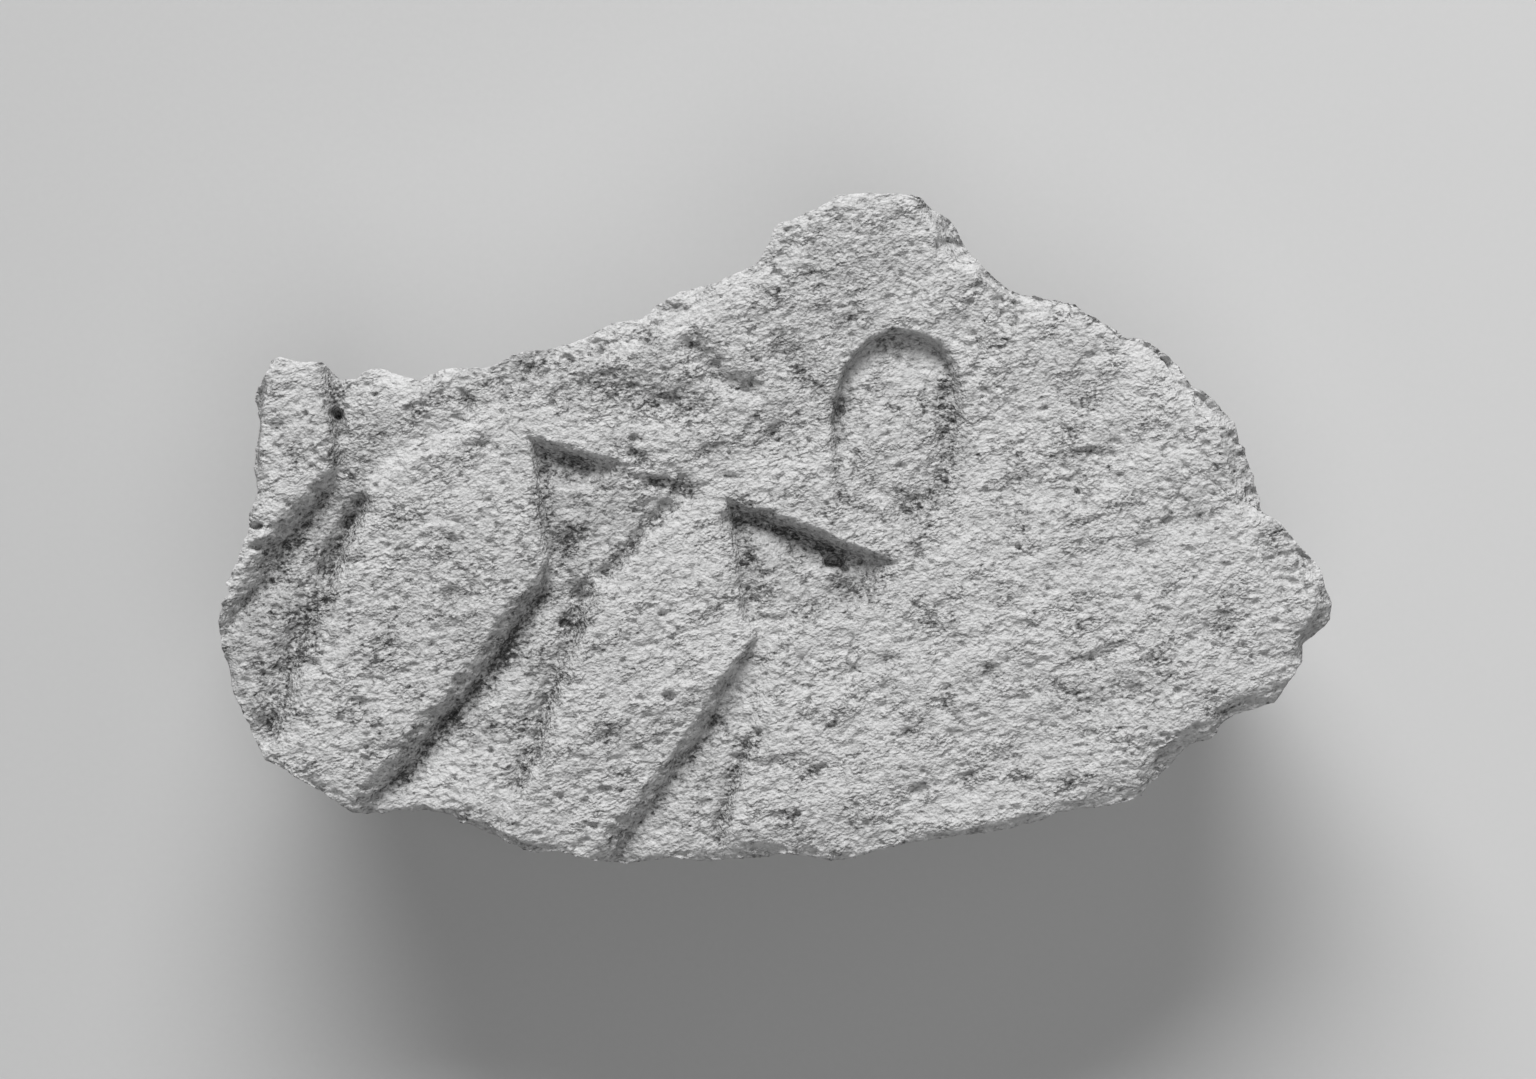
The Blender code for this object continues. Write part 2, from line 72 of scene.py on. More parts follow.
def smooth(t: Array) -> Array:
    """Rises from 0 to 1 as t does, level at both ends: 3t^2 - 2t^3.

    Args:
        t: The share of the way.

    Returns:
        The share of the rise.
    """
    t = np.clip(t, 0.0, 1.0)
    return t * t * (3.0 - 2.0 * t)


def bell(t: Array) -> Array:
    """Falls from 1 at t = 0 to nearly nothing at t = 2: e^(-t^2)."""
    return np.exp(-t * t)


class GradientNoise:
    """Smooth random relief that comes out the same on every run."""

    LATTICE = 256
    GAIN = 1.6

    def __init__(self, seed: int) -> None:
        """Draws the slopes that stand on the lattice's corners.

        Args:
            seed: Which relief to draw.
        """
        draw = np.random.default_rng(seed)
        slopes = draw.normal(size=(self.LATTICE, 3))
        self._order = np.tile(draw.permutation(self.LATTICE), 3)
        self._slopes = slopes / np.linalg.norm(slopes, axis=1, keepdims=True)

    def at(self, points: Array, wavelength: float) -> Array:
        """Reads the relief.

        The value at a point is what the slopes at the eight corners of its cell rise to there, blended by
        6t^5 - 15t^4 + 10t^3 along each edge.

        Args:
            points: Rows of x, y and z.
            wavelength: The lattice's spacing, in the points' units.

        Returns:
            A value for each point, mostly from -1 to 1.
        """
        places = points / wavelength
        cells = np.floor(places).astype(np.int64)
        part = places - cells
        fade = part**3 * (part * (part * 6.0 - 15.0) + 10.0)
        total = np.zeros(len(points))
        for corner in itertools.product((0, 1), repeat=3):
            x, y, z = ((cells + corner) % self.LATTICE).T
            slope = self._slopes[self._order[self._order[self._order[x] + y] + z]]
            rise = np.einsum("ij,ij->i", slope, part - corner)
            weight = np.prod(np.where(corner, fade, 1.0 - fade), axis=1)
            total += weight * rise
        return total * self.GAIN

    def layers(self, points: Array, amounts: Mapping[float, float]) -> Array:
        """Adds up the relief at several wavelengths.

        Args:
            points: Rows of x, y and z.
            amounts: How much of the relief to take at each wavelength.

        Returns:
            The sum at each point.
        """
        shift = 17.3
        total = np.zeros(len(points))
        for number, (wavelength, amount) in enumerate(amounts.items()):
            total += amount * self.at(points + number * shift * wavelength, wavelength)
        return total


class Near(NamedTuple):
    """What a stroke says at each point: how far it is, on which side the point is, and its values there."""

    distance: Array
    side: Array
    values: Array


@dataclass(frozen=True)
class Stroke:
    """A line of straight pieces on the squared paper.

    Past x and y, its points hold values that change along it. The two least numbers keep a division from
    failing where a piece or a distance is nothing.
    """

    points: Array
    least_length: float = 1e-12
    least_distance: float = 0.02

    @classmethod
    def through(cls, points: Sequence[Sequence[float]], closed: bool = False) -> "Stroke":
        """Makes a stroke through the points, and back to the first one if it is closed."""
        rows = [*points, points[0]] if closed else points
        return cls(np.array(rows, float))

    def near(self, at: Array) -> Near:
        """Measures the stroke from each point, a straight piece at a time.

        On a piece from a to b the nearest spot is a share of the way along, the dot product of the offset
        and the piece over its length squared, kept from 0 to 1. The values are the pieces' own at their
        nearest spots, each weighted by the piece's length over its distance to the fourth power, so that
        they change without a step where one piece takes over from another.

        Args:
            at: Rows of x and y, in squares.

        Returns:
            The distance in squares, 1 where the point is on the stroke's left hand and -1 on its right, and
            the stroke's values.
        """
        best = np.full(len(at), np.inf)
        side = np.zeros(len(at))
        values = np.zeros((len(at), self.points.shape[1] - 2))
        weights = np.zeros(len(at))
        for start, end in zip(self.points[:-1], self.points[1:]):
            step = end[:2] - start[:2]
            offset = at - start[:2]
            share = np.clip(offset @ step / max(step @ step, self.least_length), 0.0, 1.0)
            away = offset - share[:, None] * step
            distance = np.hypot(away[:, 0], away[:, 1])
            closer = distance < best
            best[closer] = distance[closer]
            side[closer] = np.sign(step[0] * away[closer, 1] - step[1] * away[closer, 0])
            weight = math.hypot(*step) / (distance**2 + self.least_distance) ** 2
            values += weight[:, None] * (start[2:] + share[:, None] * (end[2:] - start[2:]))
            weights += weight
        return Near(best, side, values / weights[:, None])

    def within(self, at: Array, reach: float) -> Array:
        """Picks the points in the stroke's own box, widened by reach."""
        low, high = self.points[:, :2].min(0) - reach, self.points[:, :2].max(0) + reach
        return np.flatnonzero(((at >= low) & (at <= high)).all(1))

    def encloses(self, at: Array) -> Array:
        """Says which points the closed stroke goes round.

        A line from such a point to the right crosses the stroke an odd number of times.

        Args:
            at: Rows of x and y, in squares.

        Returns:
            True for each point inside.
        """
        crossings = np.zeros(len(at), int)
        for a, b in zip(self.points[:-1], self.points[1:]):
            if a[1] == b[1]:
                continue
            spans = (a[1] > at[:, 1]) != (b[1] > at[:, 1])
            crossing = a[0] + (at[:, 1] - a[1]) * (b[0] - a[0]) / (b[1] - a[1])
            crossings += spans & (at[:, 0] < crossing)
        return crossings % 2 == 1


@dataclass(frozen=True)
class SunkForm:
    """A form cut into the face, with a steep wall along its deep side.

    From the wall's foot the floor comes up to the soft side. The deep side's points are x, y, the wall's
    run in squares and its share of the full cut. The soft side's points are x and y, and it closes the
    form. Reaches are in squares, and the rest are shares.
    """

    name: str
    deep_side: Sequence[tuple[float, float, float, float]]
    soft_side: Sequence[Point]
    floor_share: float = 0.52
    floor_reach: float = 2.6
    far_reach: float = 20.0
    wall_bend: float = 1.6
    soft_run: float = 2.2
    soft_share: float = 0.13
    soft_reach: float = 1.8
    steep_from: float = 0.25
    steep_over: float = 0.4
    lip_over: float = 0.25
    wall_end: float = 0.3
    foot_from: float = 0.6
    foot_over: float = 0.35
    foot_on_floor: float = 1.3
    foot_on_wall: float = 0.7

    def cut(self, at: Array) -> tuple[Array, Array, Array]:
        """Works out the form's depth.

        Down the wall the depth is the share of its run to the power wall_bend, so that its lip is worn and
        its foot sharp. Beyond the foot it fades from the wall's share to the floor's part of it as
        e^(-distance / floor_reach), and the floor itself comes up slowly in the same way. A shallower
        groove follows the soft side. How much a point is wall rises from the lip in two halves, one of them
        at once and one with the square of the way down. The foot is a bell on both sides of the wall's end.

        Args:
            at: Rows of x and y, in squares.

        Returns:
            The share of the full cut, how much each point is wall, and how much it is the wall's foot.
        """
        depth, wall, foot = np.zeros((3, len(at)))
        ring = Stroke.through([*(p[:2] for p in self.deep_side), *self.soft_side], closed=True)
        inner = ring.within(at, 0.0)
        inner = inner[ring.encloses(at[inner])]
        deep = Stroke.through(self.deep_side).near(at[inner])
        soft_line = [self.deep_side[-1][:2], *self.soft_side, self.deep_side[0][:2]]
        soft = Stroke.through(soft_line).near(at[inner])
        run, share = deep.values.T
        down = np.clip(deep.distance / run, 0.0, 1.0)
        past = np.maximum(deep.distance - run, 0.0)
        fade = np.exp(-past / self.floor_reach)
        groove = self.soft_share * np.exp(-np.maximum(soft.distance - self.soft_run, 0.0) / self.soft_reach)
        rest = share * self.floor_share * np.exp(-past / self.far_reach)
        floor = rest + (share - rest) * fade + groove * (1.0 - fade)
        depth[inner] = np.minimum(down**self.wall_bend, smooth(soft.distance / self.soft_run)) * floor
        steep = smooth((share - self.steep_from) / self.steep_over)
        dressed = 0.5 * smooth(down / self.lip_over) + 0.5 * down**2
        wall[inner] = steep * dressed * (1.0 - smooth(past / self.wall_end))
        foot_reach = np.where(past > 0.0, self.foot_on_floor, self.foot_on_wall)
        foot[inner] = smooth((share - self.foot_from) / self.foot_over)
        foot[inner] *= bell((deep.distance - run) / foot_reach)
        return depth, wall, foot


@dataclass(frozen=True)
class Groove:
    """A worn line in the face, painted darker along its trough: its half width in squares, share of the
    full cut, rot and course.
    """

    half_width: float
    share: float
    rot: float
    line: Sequence[Point]

    def press(self, at: Array, depth: Array, rot: Array, cut_depth: float) -> None:
        """Presses the groove into the depths, in place, with the section of a bell.

        Args:
            at: Rows of x and y, in squares.
            depth: The depth at each point, in metres.
            rot: How rotten the stone's skin is at each point, from 0 to 1, with the painted shade that is
                added to it.
            cut_depth: The full cut, in metres.
        """
        stroke = Stroke.through(self.line)
        close = stroke.within(at, 2.5 * self.half_width)
        section = bell(stroke.near(at[close]).distance / self.half_width)
        depth[close] += cut_depth * self.share * section
        # Painted darker and rougher along the trough: painted shade, with dirt and worn skin
        rot[close] = np.maximum(rot[close], self.rot * section)


class Wear(Enum):
    """What time has done to a spot of the face."""

    PIT = "a bowl with a clear edge"
    KNOB = "a grain or knob that stands up"
    SCUFF = "a shallow patch where the skin of the stone is gone"
    STAIN = "a broad patch of dirt, as high as the rest"


@dataclass(frozen=True)
class Mark:
    """One worn spot: an ellipse on the squared paper, its long half first, and how it lies, in degrees.

    Its depth is how far it goes in, in mm, or for a stain how dark it is, from 0 to 1.
    """

    kind: Wear
    x: float
    y: float
    half_long: float
    half_short: float
    lie: float
    depth: float

    SPREAD = 2.2
    PIT_SHADE_AND_ROT = 0.4
    KNOB_NARROWED = 1.2
    SCUFF_SUNK = 0.7
    SCUFF_ROT = (0.2, 1.1)
    WIDENED = 0.8

    def reach(self, at: Array) -> Array:
        """Measures each point from the mark's centre, as a share of the way to the ellipse's edge.

        Args:
            at: Rows of x and y, in squares.

        Returns:
            The share at each point: 1 on the edge, and more beyond it.
        """
        turn = math.radians(self.lie)
        x, y = at[:, 0] - self.x, at[:, 1] - self.y
        along = (x * math.cos(turn) + y * math.sin(turn)) / self.half_long
        across = (y * math.cos(turn) - x * math.sin(turn)) / self.half_short
        return np.hypot(along, across)

    def press(self, at: Array, depth: Array, rot: Array) -> None:
        """Presses the mark into the depths, in place.

        A pit's bowl is 1 - r^3 of its depth inside its edge, painted darker as painted shade. A knob is a
        bell turned up.
        A scuff is a wide bell that roughens what it covers, and a stain only darkens it, by as much as its
        depth says.

        Args:
            at: Rows of x and y, in squares.
            depth: The depth at each point, in metres.
            rot: How rotten the stone's skin is at each point, from 0 to 1, with the painted shade that is
                added to it.
        """
        spread = self.SPREAD * max(self.half_long, self.half_short)
        close = np.flatnonzero((np.abs(at - (self.x, self.y)) < spread).all(1))
        r = self.reach(at[close])
        if self.kind is Wear.PIT:
            bowl = np.clip(1.0 - r**3, 0.0, 1.0)
            depth[close] += self.depth * MM * bowl
            # Painted shade in the bowl, which also counts its skin as rotten
            rot[close] = np.maximum(rot[close], self.PIT_SHADE_AND_ROT * bowl)
        elif self.kind is Wear.KNOB:
            depth[close] -= self.depth * MM * bell(r * self.KNOB_NARROWED)
        elif self.kind is Wear.SCUFF:
            least, gain = self.SCUFF_ROT
            depth[close] += self.SCUFF_SUNK * self.depth * MM * bell(r)
            rotten = min(1.0, least + gain * self.depth)
            rot[close] = np.maximum(rot[close], rotten * bell(r * self.WIDENED))
        else:
            rot[close] = np.maximum(rot[close], self.depth * bell(r**2 * self.WIDENED))


@dataclass(frozen=True)
class StrewnPits:
    """Small pits strewn by chance over the face, at most one to a cell of a square lattice."""

    spacing: float
    smallest: float
    largest: float
    share: float
    steepness: float
    seed: int
    cells: int = 97

    def depth(self, points: Array) -> Array:
        """Works out the deepest pit at each point.

        A pit is a bowl of 1 - (distance / radius)^2, as deep as its radius times its steepness.

        Args:
            points: Rows of x and y, in metres.

        Returns:
            The depth at each point, in metres.
        """
        draw = np.random.default_rng(self.seed)
        places = draw.random((self.cells, self.cells, 2))
        radii = self.smallest + (self.largest - self.smallest) * draw.random((self.cells, self.cells)) ** 2
        radii *= draw.random((self.cells, self.cells)) < self.share
        home = np.floor(points / self.spacing).astype(np.int64)
        deepest = np.zeros(len(points))
        for neighbour in itertools.product((-1, 0, 1), repeat=2):
            cell = home + neighbour
            column, row = (cell % self.cells).T
            centre = (cell + places[column, row]) * self.spacing
            radius = np.maximum(radii[column, row], 1e-9)
            distance = np.hypot(*(points - centre).T)
            bowl = radius * self.steepness * np.clip(1.0 - (distance / radius) ** 2, 0.0, 1.0)
            deepest = np.maximum(deepest, bowl)
        return deepest


@dataclass(frozen=True)
class SquaredPaper:
    """The paper that the face is drawn on, laid over the slab."""

    length: float
    squares_long: float
    centre: Point

    @property
    def square(self) -> float:
        """The side of one square, in metres."""
        return self.length / self.squares_long

    def to_metres(self, places: Array) -> Array:
        """Turns x and y in squares into x and y in metres, from the middle of the slab."""
        return (np.asarray(places, float) - self.centre) * self.square


class FaceSample(NamedTuple):
    """The face at each point: its height in metres, how rotten and how dirty it is, both with painted shade
    added, and the shade painted in its crevices.
    """

    height: Array
    rot: Array
    dirt_and_shade: Array
    crevice_shade: Array


@dataclass(frozen=True)
class CarvedFace:
    """The dressed and carved face, with its wear.

    Every mapping gives sizes of relief by their wavelengths. Each of the hollows is a wavelength, a depth
    and the limit that the noise has to pass. All but highest_share per cent of the face is below the top.
    """

    paper: SquaredPaper
    top: float
    cut_depth: float = 4.1 * MM
    chip_drop: float = 6.0 * MM
    wear: float = 1.0 * MM
    wander: float = 0.25
    wander_wavelengths: Mapping[float, float] = field(
        default_factory=lambda: {5.0: 0.5, 2.4: 0.6, 1.0: 0.35}
    )
    streak_lie: float = 30.0
    streak_stretch: float = 2.0
    streaks_left: float = 0.8
    streaks_gain: float = 0.35
    streaks_gain_from: float = 50.0
    streaks_gain_over: float = 40.0
    streaks: Mapping[float, float] = field(
        default_factory=lambda: {5.4 * MM: 0.27 * MM, 2.9 * MM: 0.145 * MM, 1.7 * MM: 0.09 * MM}
    )
    grain: Mapping[float, float] = field(
        default_factory=lambda: {1.5 * MM: 0.14 * MM, 1.0 * MM: 0.165 * MM}
    )
    hollows: Sequence[tuple[float, float, float]] = (
        (3.4 * MM, 0.12 * MM, 0.36), (1.9 * MM, 0.20 * MM, 0.26), (1.1 * MM, 0.33 * MM, 0.20),
    )
    hollow_over: float = 0.45
    grain_stretch: float = 1.35
    grain_level: float = 0.04
    pit_drift: float = 1.2
    rot_wavelengths: Mapping[float, float] = field(default_factory=lambda: {9.0 * MM: 0.7, 4.0 * MM: 0.6})
    rot_from: float = 0.26
    rot_over: float = 0.45
    rot_most: float = 0.55
    rot_depth: float = 0.40 * MM
    rot_grain: Mapping[float, float] = field(
        default_factory=lambda: {1.9 * MM: 0.40 * MM, 1.0 * MM: 0.42 * MM}
    )
    scar_rot: float = 0.5
    scar_roughness: float = 2.2
    scar_reach: float = 3.0
    # How much darker the walls are painted, as painted shade, with their skin counted as rotten
    wall_shade_and_rot: float = 0.45
    wall_coarseness: float = 0.95
    wall_pitting: float = 0.7
    # The next three break the painted shade and dirt at the walls' feet into patches
    foot_patch_wavelength: float = 4.0 * MM
    foot_patch_middle: float = 0.6
    foot_patch_swing: float = 1.1
    # The share of the full cut at which a floor takes the floors' darker patches fully
    floor_darkening_share_over: float = 0.30
    # The next two set the shade painted in the crevices: the depth that paints them fully dark, and the
    # ends it is held to
    crevice_shade_scale: float = 0.6 * MM
    crevice_shade_ends: tuple[float, float] = (-0.5, 1.0)
    highest_share: float = 1.0
    rim_round: float = 1.0 * MM
    rim_reach: float = 1.1
    rim_unevenness: float = 0.6
    rim_wavelength: float = 4.0 * MM
    pits: tuple[StrewnPits, ...] = (
        StrewnPits(5.2 * MM, 0.25 * MM, 0.60 * MM, 0.40, 1.4, 11),
        StrewnPits(2.6 * MM, 0.20 * MM, 0.36 * MM, 0.35, 1.5, 12),
    )

    # Each flower's deep side, from the tip of its upper edge down, and then its soft side back up
    FLOWERS = (
        SunkForm(
            "right flower",
            [
                (69.0, 30.1, 0.4, 0.1), (67.2, 30.8, 0.8, 0.45), (64.8, 31.7, 1.2, 0.8),
                (61.5, 33.0, 1.5, 0.96), (59.0, 34.0, 1.4, 0.96), (57.0, 34.8, 1.3, 0.88),
                (54.5, 35.6, 1.3, 0.9), (52.5, 36.1, 1.4, 0.9), (50.7, 36.6, 0.8, 0.9),
                (51.0, 33.7, 0.6, 0.5), (51.4, 31.2, 0.6, 0.42), (51.8, 28.2, 0.6, 0.4),
                (52.4, 24.7, 0.7, 0.4), (53.1, 22.6, 0.9, 0.46), (51.5, 20.6, 1.2, 0.66),
                (49.9, 18.5, 1.4, 0.74), (47.5, 14.3, 1.65, 0.78), (45.8, 11.9, 1.7, 0.76),
                (43.7, 9.4, 1.9, 0.74), (41.7, 6.9, 2.1, 0.74), (38.9, 3.7, 2.4, 0.74),
                (37.2, 0.8, 2.8, 0.74), (36.6, -2.0, 2.8, 0.74),
            ],
            [
                (51.0, -2.0), (51.5, 2.7), (52.2, 6.2), (53.2, 9.7), (54.2, 12.4), (55.2, 15.7),
                (55.8, 19.0), (56.5, 20.7), (58.0, 22.5), (60.0, 24.0), (62.5, 25.4), (65.0, 26.7),
                (67.4, 28.5),
            ],
        ),
        SunkForm(
            "middle flower",
            [
                (48.2, 36.8, 0.8, 0.10), (44.4, 38.6, 1.0, 0.16), (41.3, 40.1, 1.0, 0.12),
                (40.0, 40.6, 1.1, 0.26), (38.8, 40.9, 1.2, 0.66), (37.0, 41.4, 1.4, 0.92),
                (34.5, 42.1, 1.5, 0.96), (32.6, 42.4, 1.5, 0.94), (30.9, 43.0, 0.8, 0.7),
                (31.4, 39.7, 0.6, 0.5), (31.9, 36.7, 0.6, 0.42), (32.2, 32.7, 0.6, 0.4),
                (32.6, 30.4, 0.8, 0.5), (30.9, 28.0, 1.9, 0.9), (28.7, 26.0, 2.4, 1.0),
                (27.0, 23.3, 2.45, 1.0), (25.0, 20.4, 2.4, 1.0), (22.7, 17.8, 2.45, 1.0),
                (20.2, 15.3, 2.5, 1.0), (18.2, 12.6, 2.5, 1.0), (16.1, 10.2, 2.5, 0.85),
                (13.8, 7.4, 2.3, 0.6), (11.8, 4.2, 2.2, 0.5),
            ],
            [
                (28.0, 0.2), (29.5, 3.7), (30.8, 6.7), (32.1, 10.2), (33.3, 12.0), (34.3, 15.7),
                (35.5, 19.0), (36.8, 21.7), (37.8, 24.7), (38.3, 27.2), (39.5, 29.7), (41.5, 31.7),
                (43.5, 33.7), (46.0, 35.4),
            ],
        ),
        SunkForm(
            "left flower",
            [
                (9.8, 51.6, 1.0, 0.42), (10.2, 48.7, 1.1, 0.46), (10.7, 46.2, 1.1, 0.50),
                (11.1, 42.2, 1.1, 0.46), (10.8, 40.1, 1.4, 0.66), (9.5, 38.5, 2.1, 0.86),
                (7.5, 36.5, 2.4, 0.88), (5.5, 34.3, 2.4, 0.88), (3.7, 31.8, 2.4, 0.86),
                (1.7, 28.7, 2.3, 0.84), (0.0, 26.1, 2.1, 0.76), (-1.2, 23.6, 1.8, 0.6),
            ],
            [
                (-1.0, 12.0), (4.0, 10.0), (6.0, 12.4), (7.2, 16.2), (8.3, 19.7), (9.5, 22.7),
                (10.2, 26.2), (11.8, 29.4), (13.5, 32.7), (14.8, 35.7), (17.0, 38.2), (20.5, 40.2),
                (24.0, 41.6), (27.0, 44.0), (27.6, 48.0), (26.0, 53.0), (14.0, 54.0),
            ],
        ),
    )

    OVAL_CENTRE = (68.1, 44.0)
    OVAL_HALVES = (6.8, 9.5)
    OVAL_LEAN = math.radians(6.0)
    OVAL_SQUARENESS = 2.3
    OVAL_RUN = 1.05
    OVAL_RUN_SWING = 0.5
    OVAL_WIDEST = math.radians(-30.0)
    OVAL_SHARE = 0.35
    OVAL_SHARE_SWING = 0.38
    OVAL_DEEPEST = math.radians(96.0)
    OVAL_FROM = -math.pi / 4.0
    OVAL_DEEP_TO = 1.15 * math.pi
    OVAL_POINTS = 72

    # Each scar: its run in squares, and its lip with the share of chip_drop there, gone on its left hand
    CHIPS = (
        (1.6, [
            (106.8, 31.6, 0.0), (109.6, 27.8, 0.2), (109.3, 25.2, 0.4),
            (108.0, 22.6, 0.5), (107.0, 20.4, 0),
        ]),
        (2.2, [
            (107.4, 19.0, 0.0), (105.2, 18.2, 0.1), (102.6, 17.4, 0.12),
            (100.0, 15.9, 0.2), (98.8, 15.0, 0),
        ]),
        (2.6, [
            (99.6, 14.6, 0.0), (96.5, 13.4, 0.15), (94.0, 11.6, 0.1),
            (91.0, 8.6, 0.1), (88.0, 6.6, 0.0),
        ]),
        (1.8, [
            (69.4, 65.6, 0.0), (71.4, 64.0, 0.7), (72.4, 62.0, 0.8),
            (73.6, 60.2, 0.6), (75.0, 58.6, 0.0),
        ]),
        (0.8, [(75.6, 58.8, 0.0), (77.6, 57.8, 0.7), (79.6, 56.6, 0.6), (81.4, 55.8, 0.0)]),
        (2.8, [
            (98.6, 44.8, 0.0), (99.8, 43.2, 0.4), (100.8, 40.0, 0.5),
            (101.8, 36.0, 0.5), (102.8, 33.8, 0),
        ]),
        (0.8, [(3.6, 36.6, 0.0), (4.2, 39.6, 0.5), (4.3, 43.6, 0.5), (4.6, 46.6, 0.5), (5.2, 48.4, 0.0)]),
        (1.0, [
            (83.0, 5.6, 0.0), (80.0, 4.8, 0.12), (76.0, 3.8, 0.12), (70.0, 2.8, 0.1), (66.0, 1.6, 0.0),
        ]),
        (1.4, [(58.0, 1.2, 0.0), (54.5, 2.4, 0.16), (51.0, 2.2, 0.16), (47.0, 1.0, 0.0)]),
        (0.9, [
            (35.0, 1.8, 0.0), (31.0, 2.2, 0.12), (26.0, 4.2, 0.1),
            (20.5, 5.8, 0.1), (14.0, 5.4, 0.12), (10, 7, 0),
        ]),
        (3.6, [
            (27.4, 47.6, 0.0), (33.0, 48.4, 0.3), (40.0, 50.4, 0.3),
            (47.0, 53.6, 0.3), (52.0, 57.0, 0.0),
        ]),
    )

    # The worn sign, the flowers' second lines, the oval's faint sides and the flowers' upright edges
    # Each is painted darker along its trough, partly as painted shade
    GROOVES = (
        Groove(2.4, 0.18, 0.4, [(28.5, 47.2), (38.0, 46.4), (48.0, 45.0)]),
        Groove(1.2, 0.26, 0.6, [(47.5, 51.6), (48.4, 50.5), (49.6, 49.3), (50.7, 48.3), (53.1, 47.4)]),
        Groove(1.7, 0.20, 0.7, [(56.4, 51.3), (57.9, 50.4), (58.8, 49.2)]),
        Groove(1.0, 0.66, 1.0, [(14.2, 35.9), (13.4, 34.1), (11.9, 31.9), (10.8, 29.1)]),
        Groove(1.1, 0.14, 0.8, [(11.5, 49.4), (11.8, 46.0), (12.1, 42.5), (11.6, 40.6)]),
        Groove(1.5, 0.46, 1.0, [(11.3, 30.2), (10.3, 27.3), (8.9, 24.1), (7.3, 19.8), (5.1, 13.4)]),
        Groove(0.9, 0.44, 0.9, [(45.1, 35.6), (43.2, 34.0), (41.5, 32.2), (40.1, 30.3), (38.8, 28.9)]),
        Groove(1.0, 0.28, 1.0, [
            (36.4, 26.6), (35.5, 23.8), (34.5, 20.2), (32.7, 15.5), (31.8, 11.2), (29.9, 8.0),
        ]),
        Groove(0.7, 0.30, 1.0, [
            (53.9, 12.9), (52.7, 11.3), (51.9, 9.4), (51.1, 6.9), (50.5, 4.9), (49.8, 2.4),
        ]),
        Groove(1.3, 0.10, 0.7, [(66.4, 28.4), (65.2, 27.5), (61.7, 26.2), (59.2, 24.9)]),
        Groove(0.9, 0.20, 0.6, [(62.2, 46.0), (61.9, 43.0), (61.9, 39.0), (62.5, 36.4)]),
        Groove(1.6, 0.18, 0.8, [(72.6, 47.0), (73.2, 42.6), (72.7, 39.0), (71.4, 36.6), (68.9, 35.4)]),
        Groove(0.8, 0.10, 0.5, [(70.0, 35.4), (66.5, 34.6), (63.6, 35.4)]),
        Groove(0.8, 0.12, 0.5, [(34.2, 31.6), (35.0, 28.0)]),
        Groove(1.0, 0.12, 0.5, [(31.9, 40.5), (32.6, 36.5), (32.9, 32.5), (33.3, 29.6)]),
        Groove(1.0, 0.12, 0.5, [(51.9, 34.0), (52.4, 30.5), (52.7, 27.5), (53.3, 24.8)]),
    )

    # Each wave: its length in squares, lie in degrees, start as a share of a wave, and amount
    WAVES = (
        (64.0, 70.0, 0.10, 0.42), (43.0, 10.0, 0.55, 0.34), (29.0, 140.0, 0.25, 0.22),
        (19.0, 45.0, 0.70, 0.16), (12.5, 28.0, 0.35, 0.12), (9.7, 33.0, 0.80, 0.12),
        (7.9, 24.0, 0.15, 0.10), (6.7, 98.0, 0.45, 0.08),
    )

    # Each mark: x, y, half its length, half its width, its lie in degrees, and its depth
    PITS = (
        (11.8, 45.0, 0.8, 0.6, 110.0, 2.6), (12.3, 43.7, 1.6, 0.9, 95.0, 1.8),
        (3.9, 33.8, 0.8, 0.4, 0.0, 1.3), (3.8, 31.8, 0.7, 0.5, 0.0, 1.3),
        (24.2, 18.3, 0.9, 0.9, 0.0, 1.0), (61.6, 30.3, 1.1, 0.75, 0.0, 3.4),
        (62.6, 29.6, 0.7, 0.5, -30.0, 2.0), (40.2, 1.8, 0.5, 0.4, 0.0, 1.2),
        (45.2, 16.8, 0.8, 0.6, 0.0, 0.9), (61.4, 13.9, 0.8, 0.4, 20.0, 0.5),
        (13.0, 34.4, 0.8, 0.5, 60.0, 0.9), (9.5, 20.2, 0.9, 0.6, 0.0, 0.7),
        (94.9, 34.4, 0.6, 0.35, 20.0, 0.7), (80.0, 31.7, 0.45, 0.25, -20.0, 0.7),
        (86.5, 27.0, 0.3, 0.2, 0.0, 0.5), (27.2, 11.2, 0.35, 0.3, 0.0, 0.7),
        (27.7, 9.9, 0.3, 0.25, 0.0, 0.6), (80.2, 42.2, 0.4, 0.3, 0.0, 0.5),
        (95.9, 17.4, 0.5, 0.4, 0.0, 0.6), (37.6, 3.8, 0.4, 0.4, 0.0, 0.6),
        (55.9, 59.0, 0.7, 0.5, 0.0, 0.7), (62.2, 45.2, 0.8, 0.6, 70.0, 0.9),
        (38.5, 7.4, 0.9, 0.5, 0.0, 0.4), (50.8, 34.6, 0.9, 0.6, 90.0, 0.9),
    )
    KNOBS = (
        (4.3, 32.8, 0.9, 0.7, 0.0, 0.9), (24.9, 17.9, 0.8, 0.6, 0.0, 0.9),
        (52.7, 15.5, 0.7, 0.5, 20.0, 0.5), (53.7, 50.4, 3.0, 2.4, 0.0, 0.5),
    )
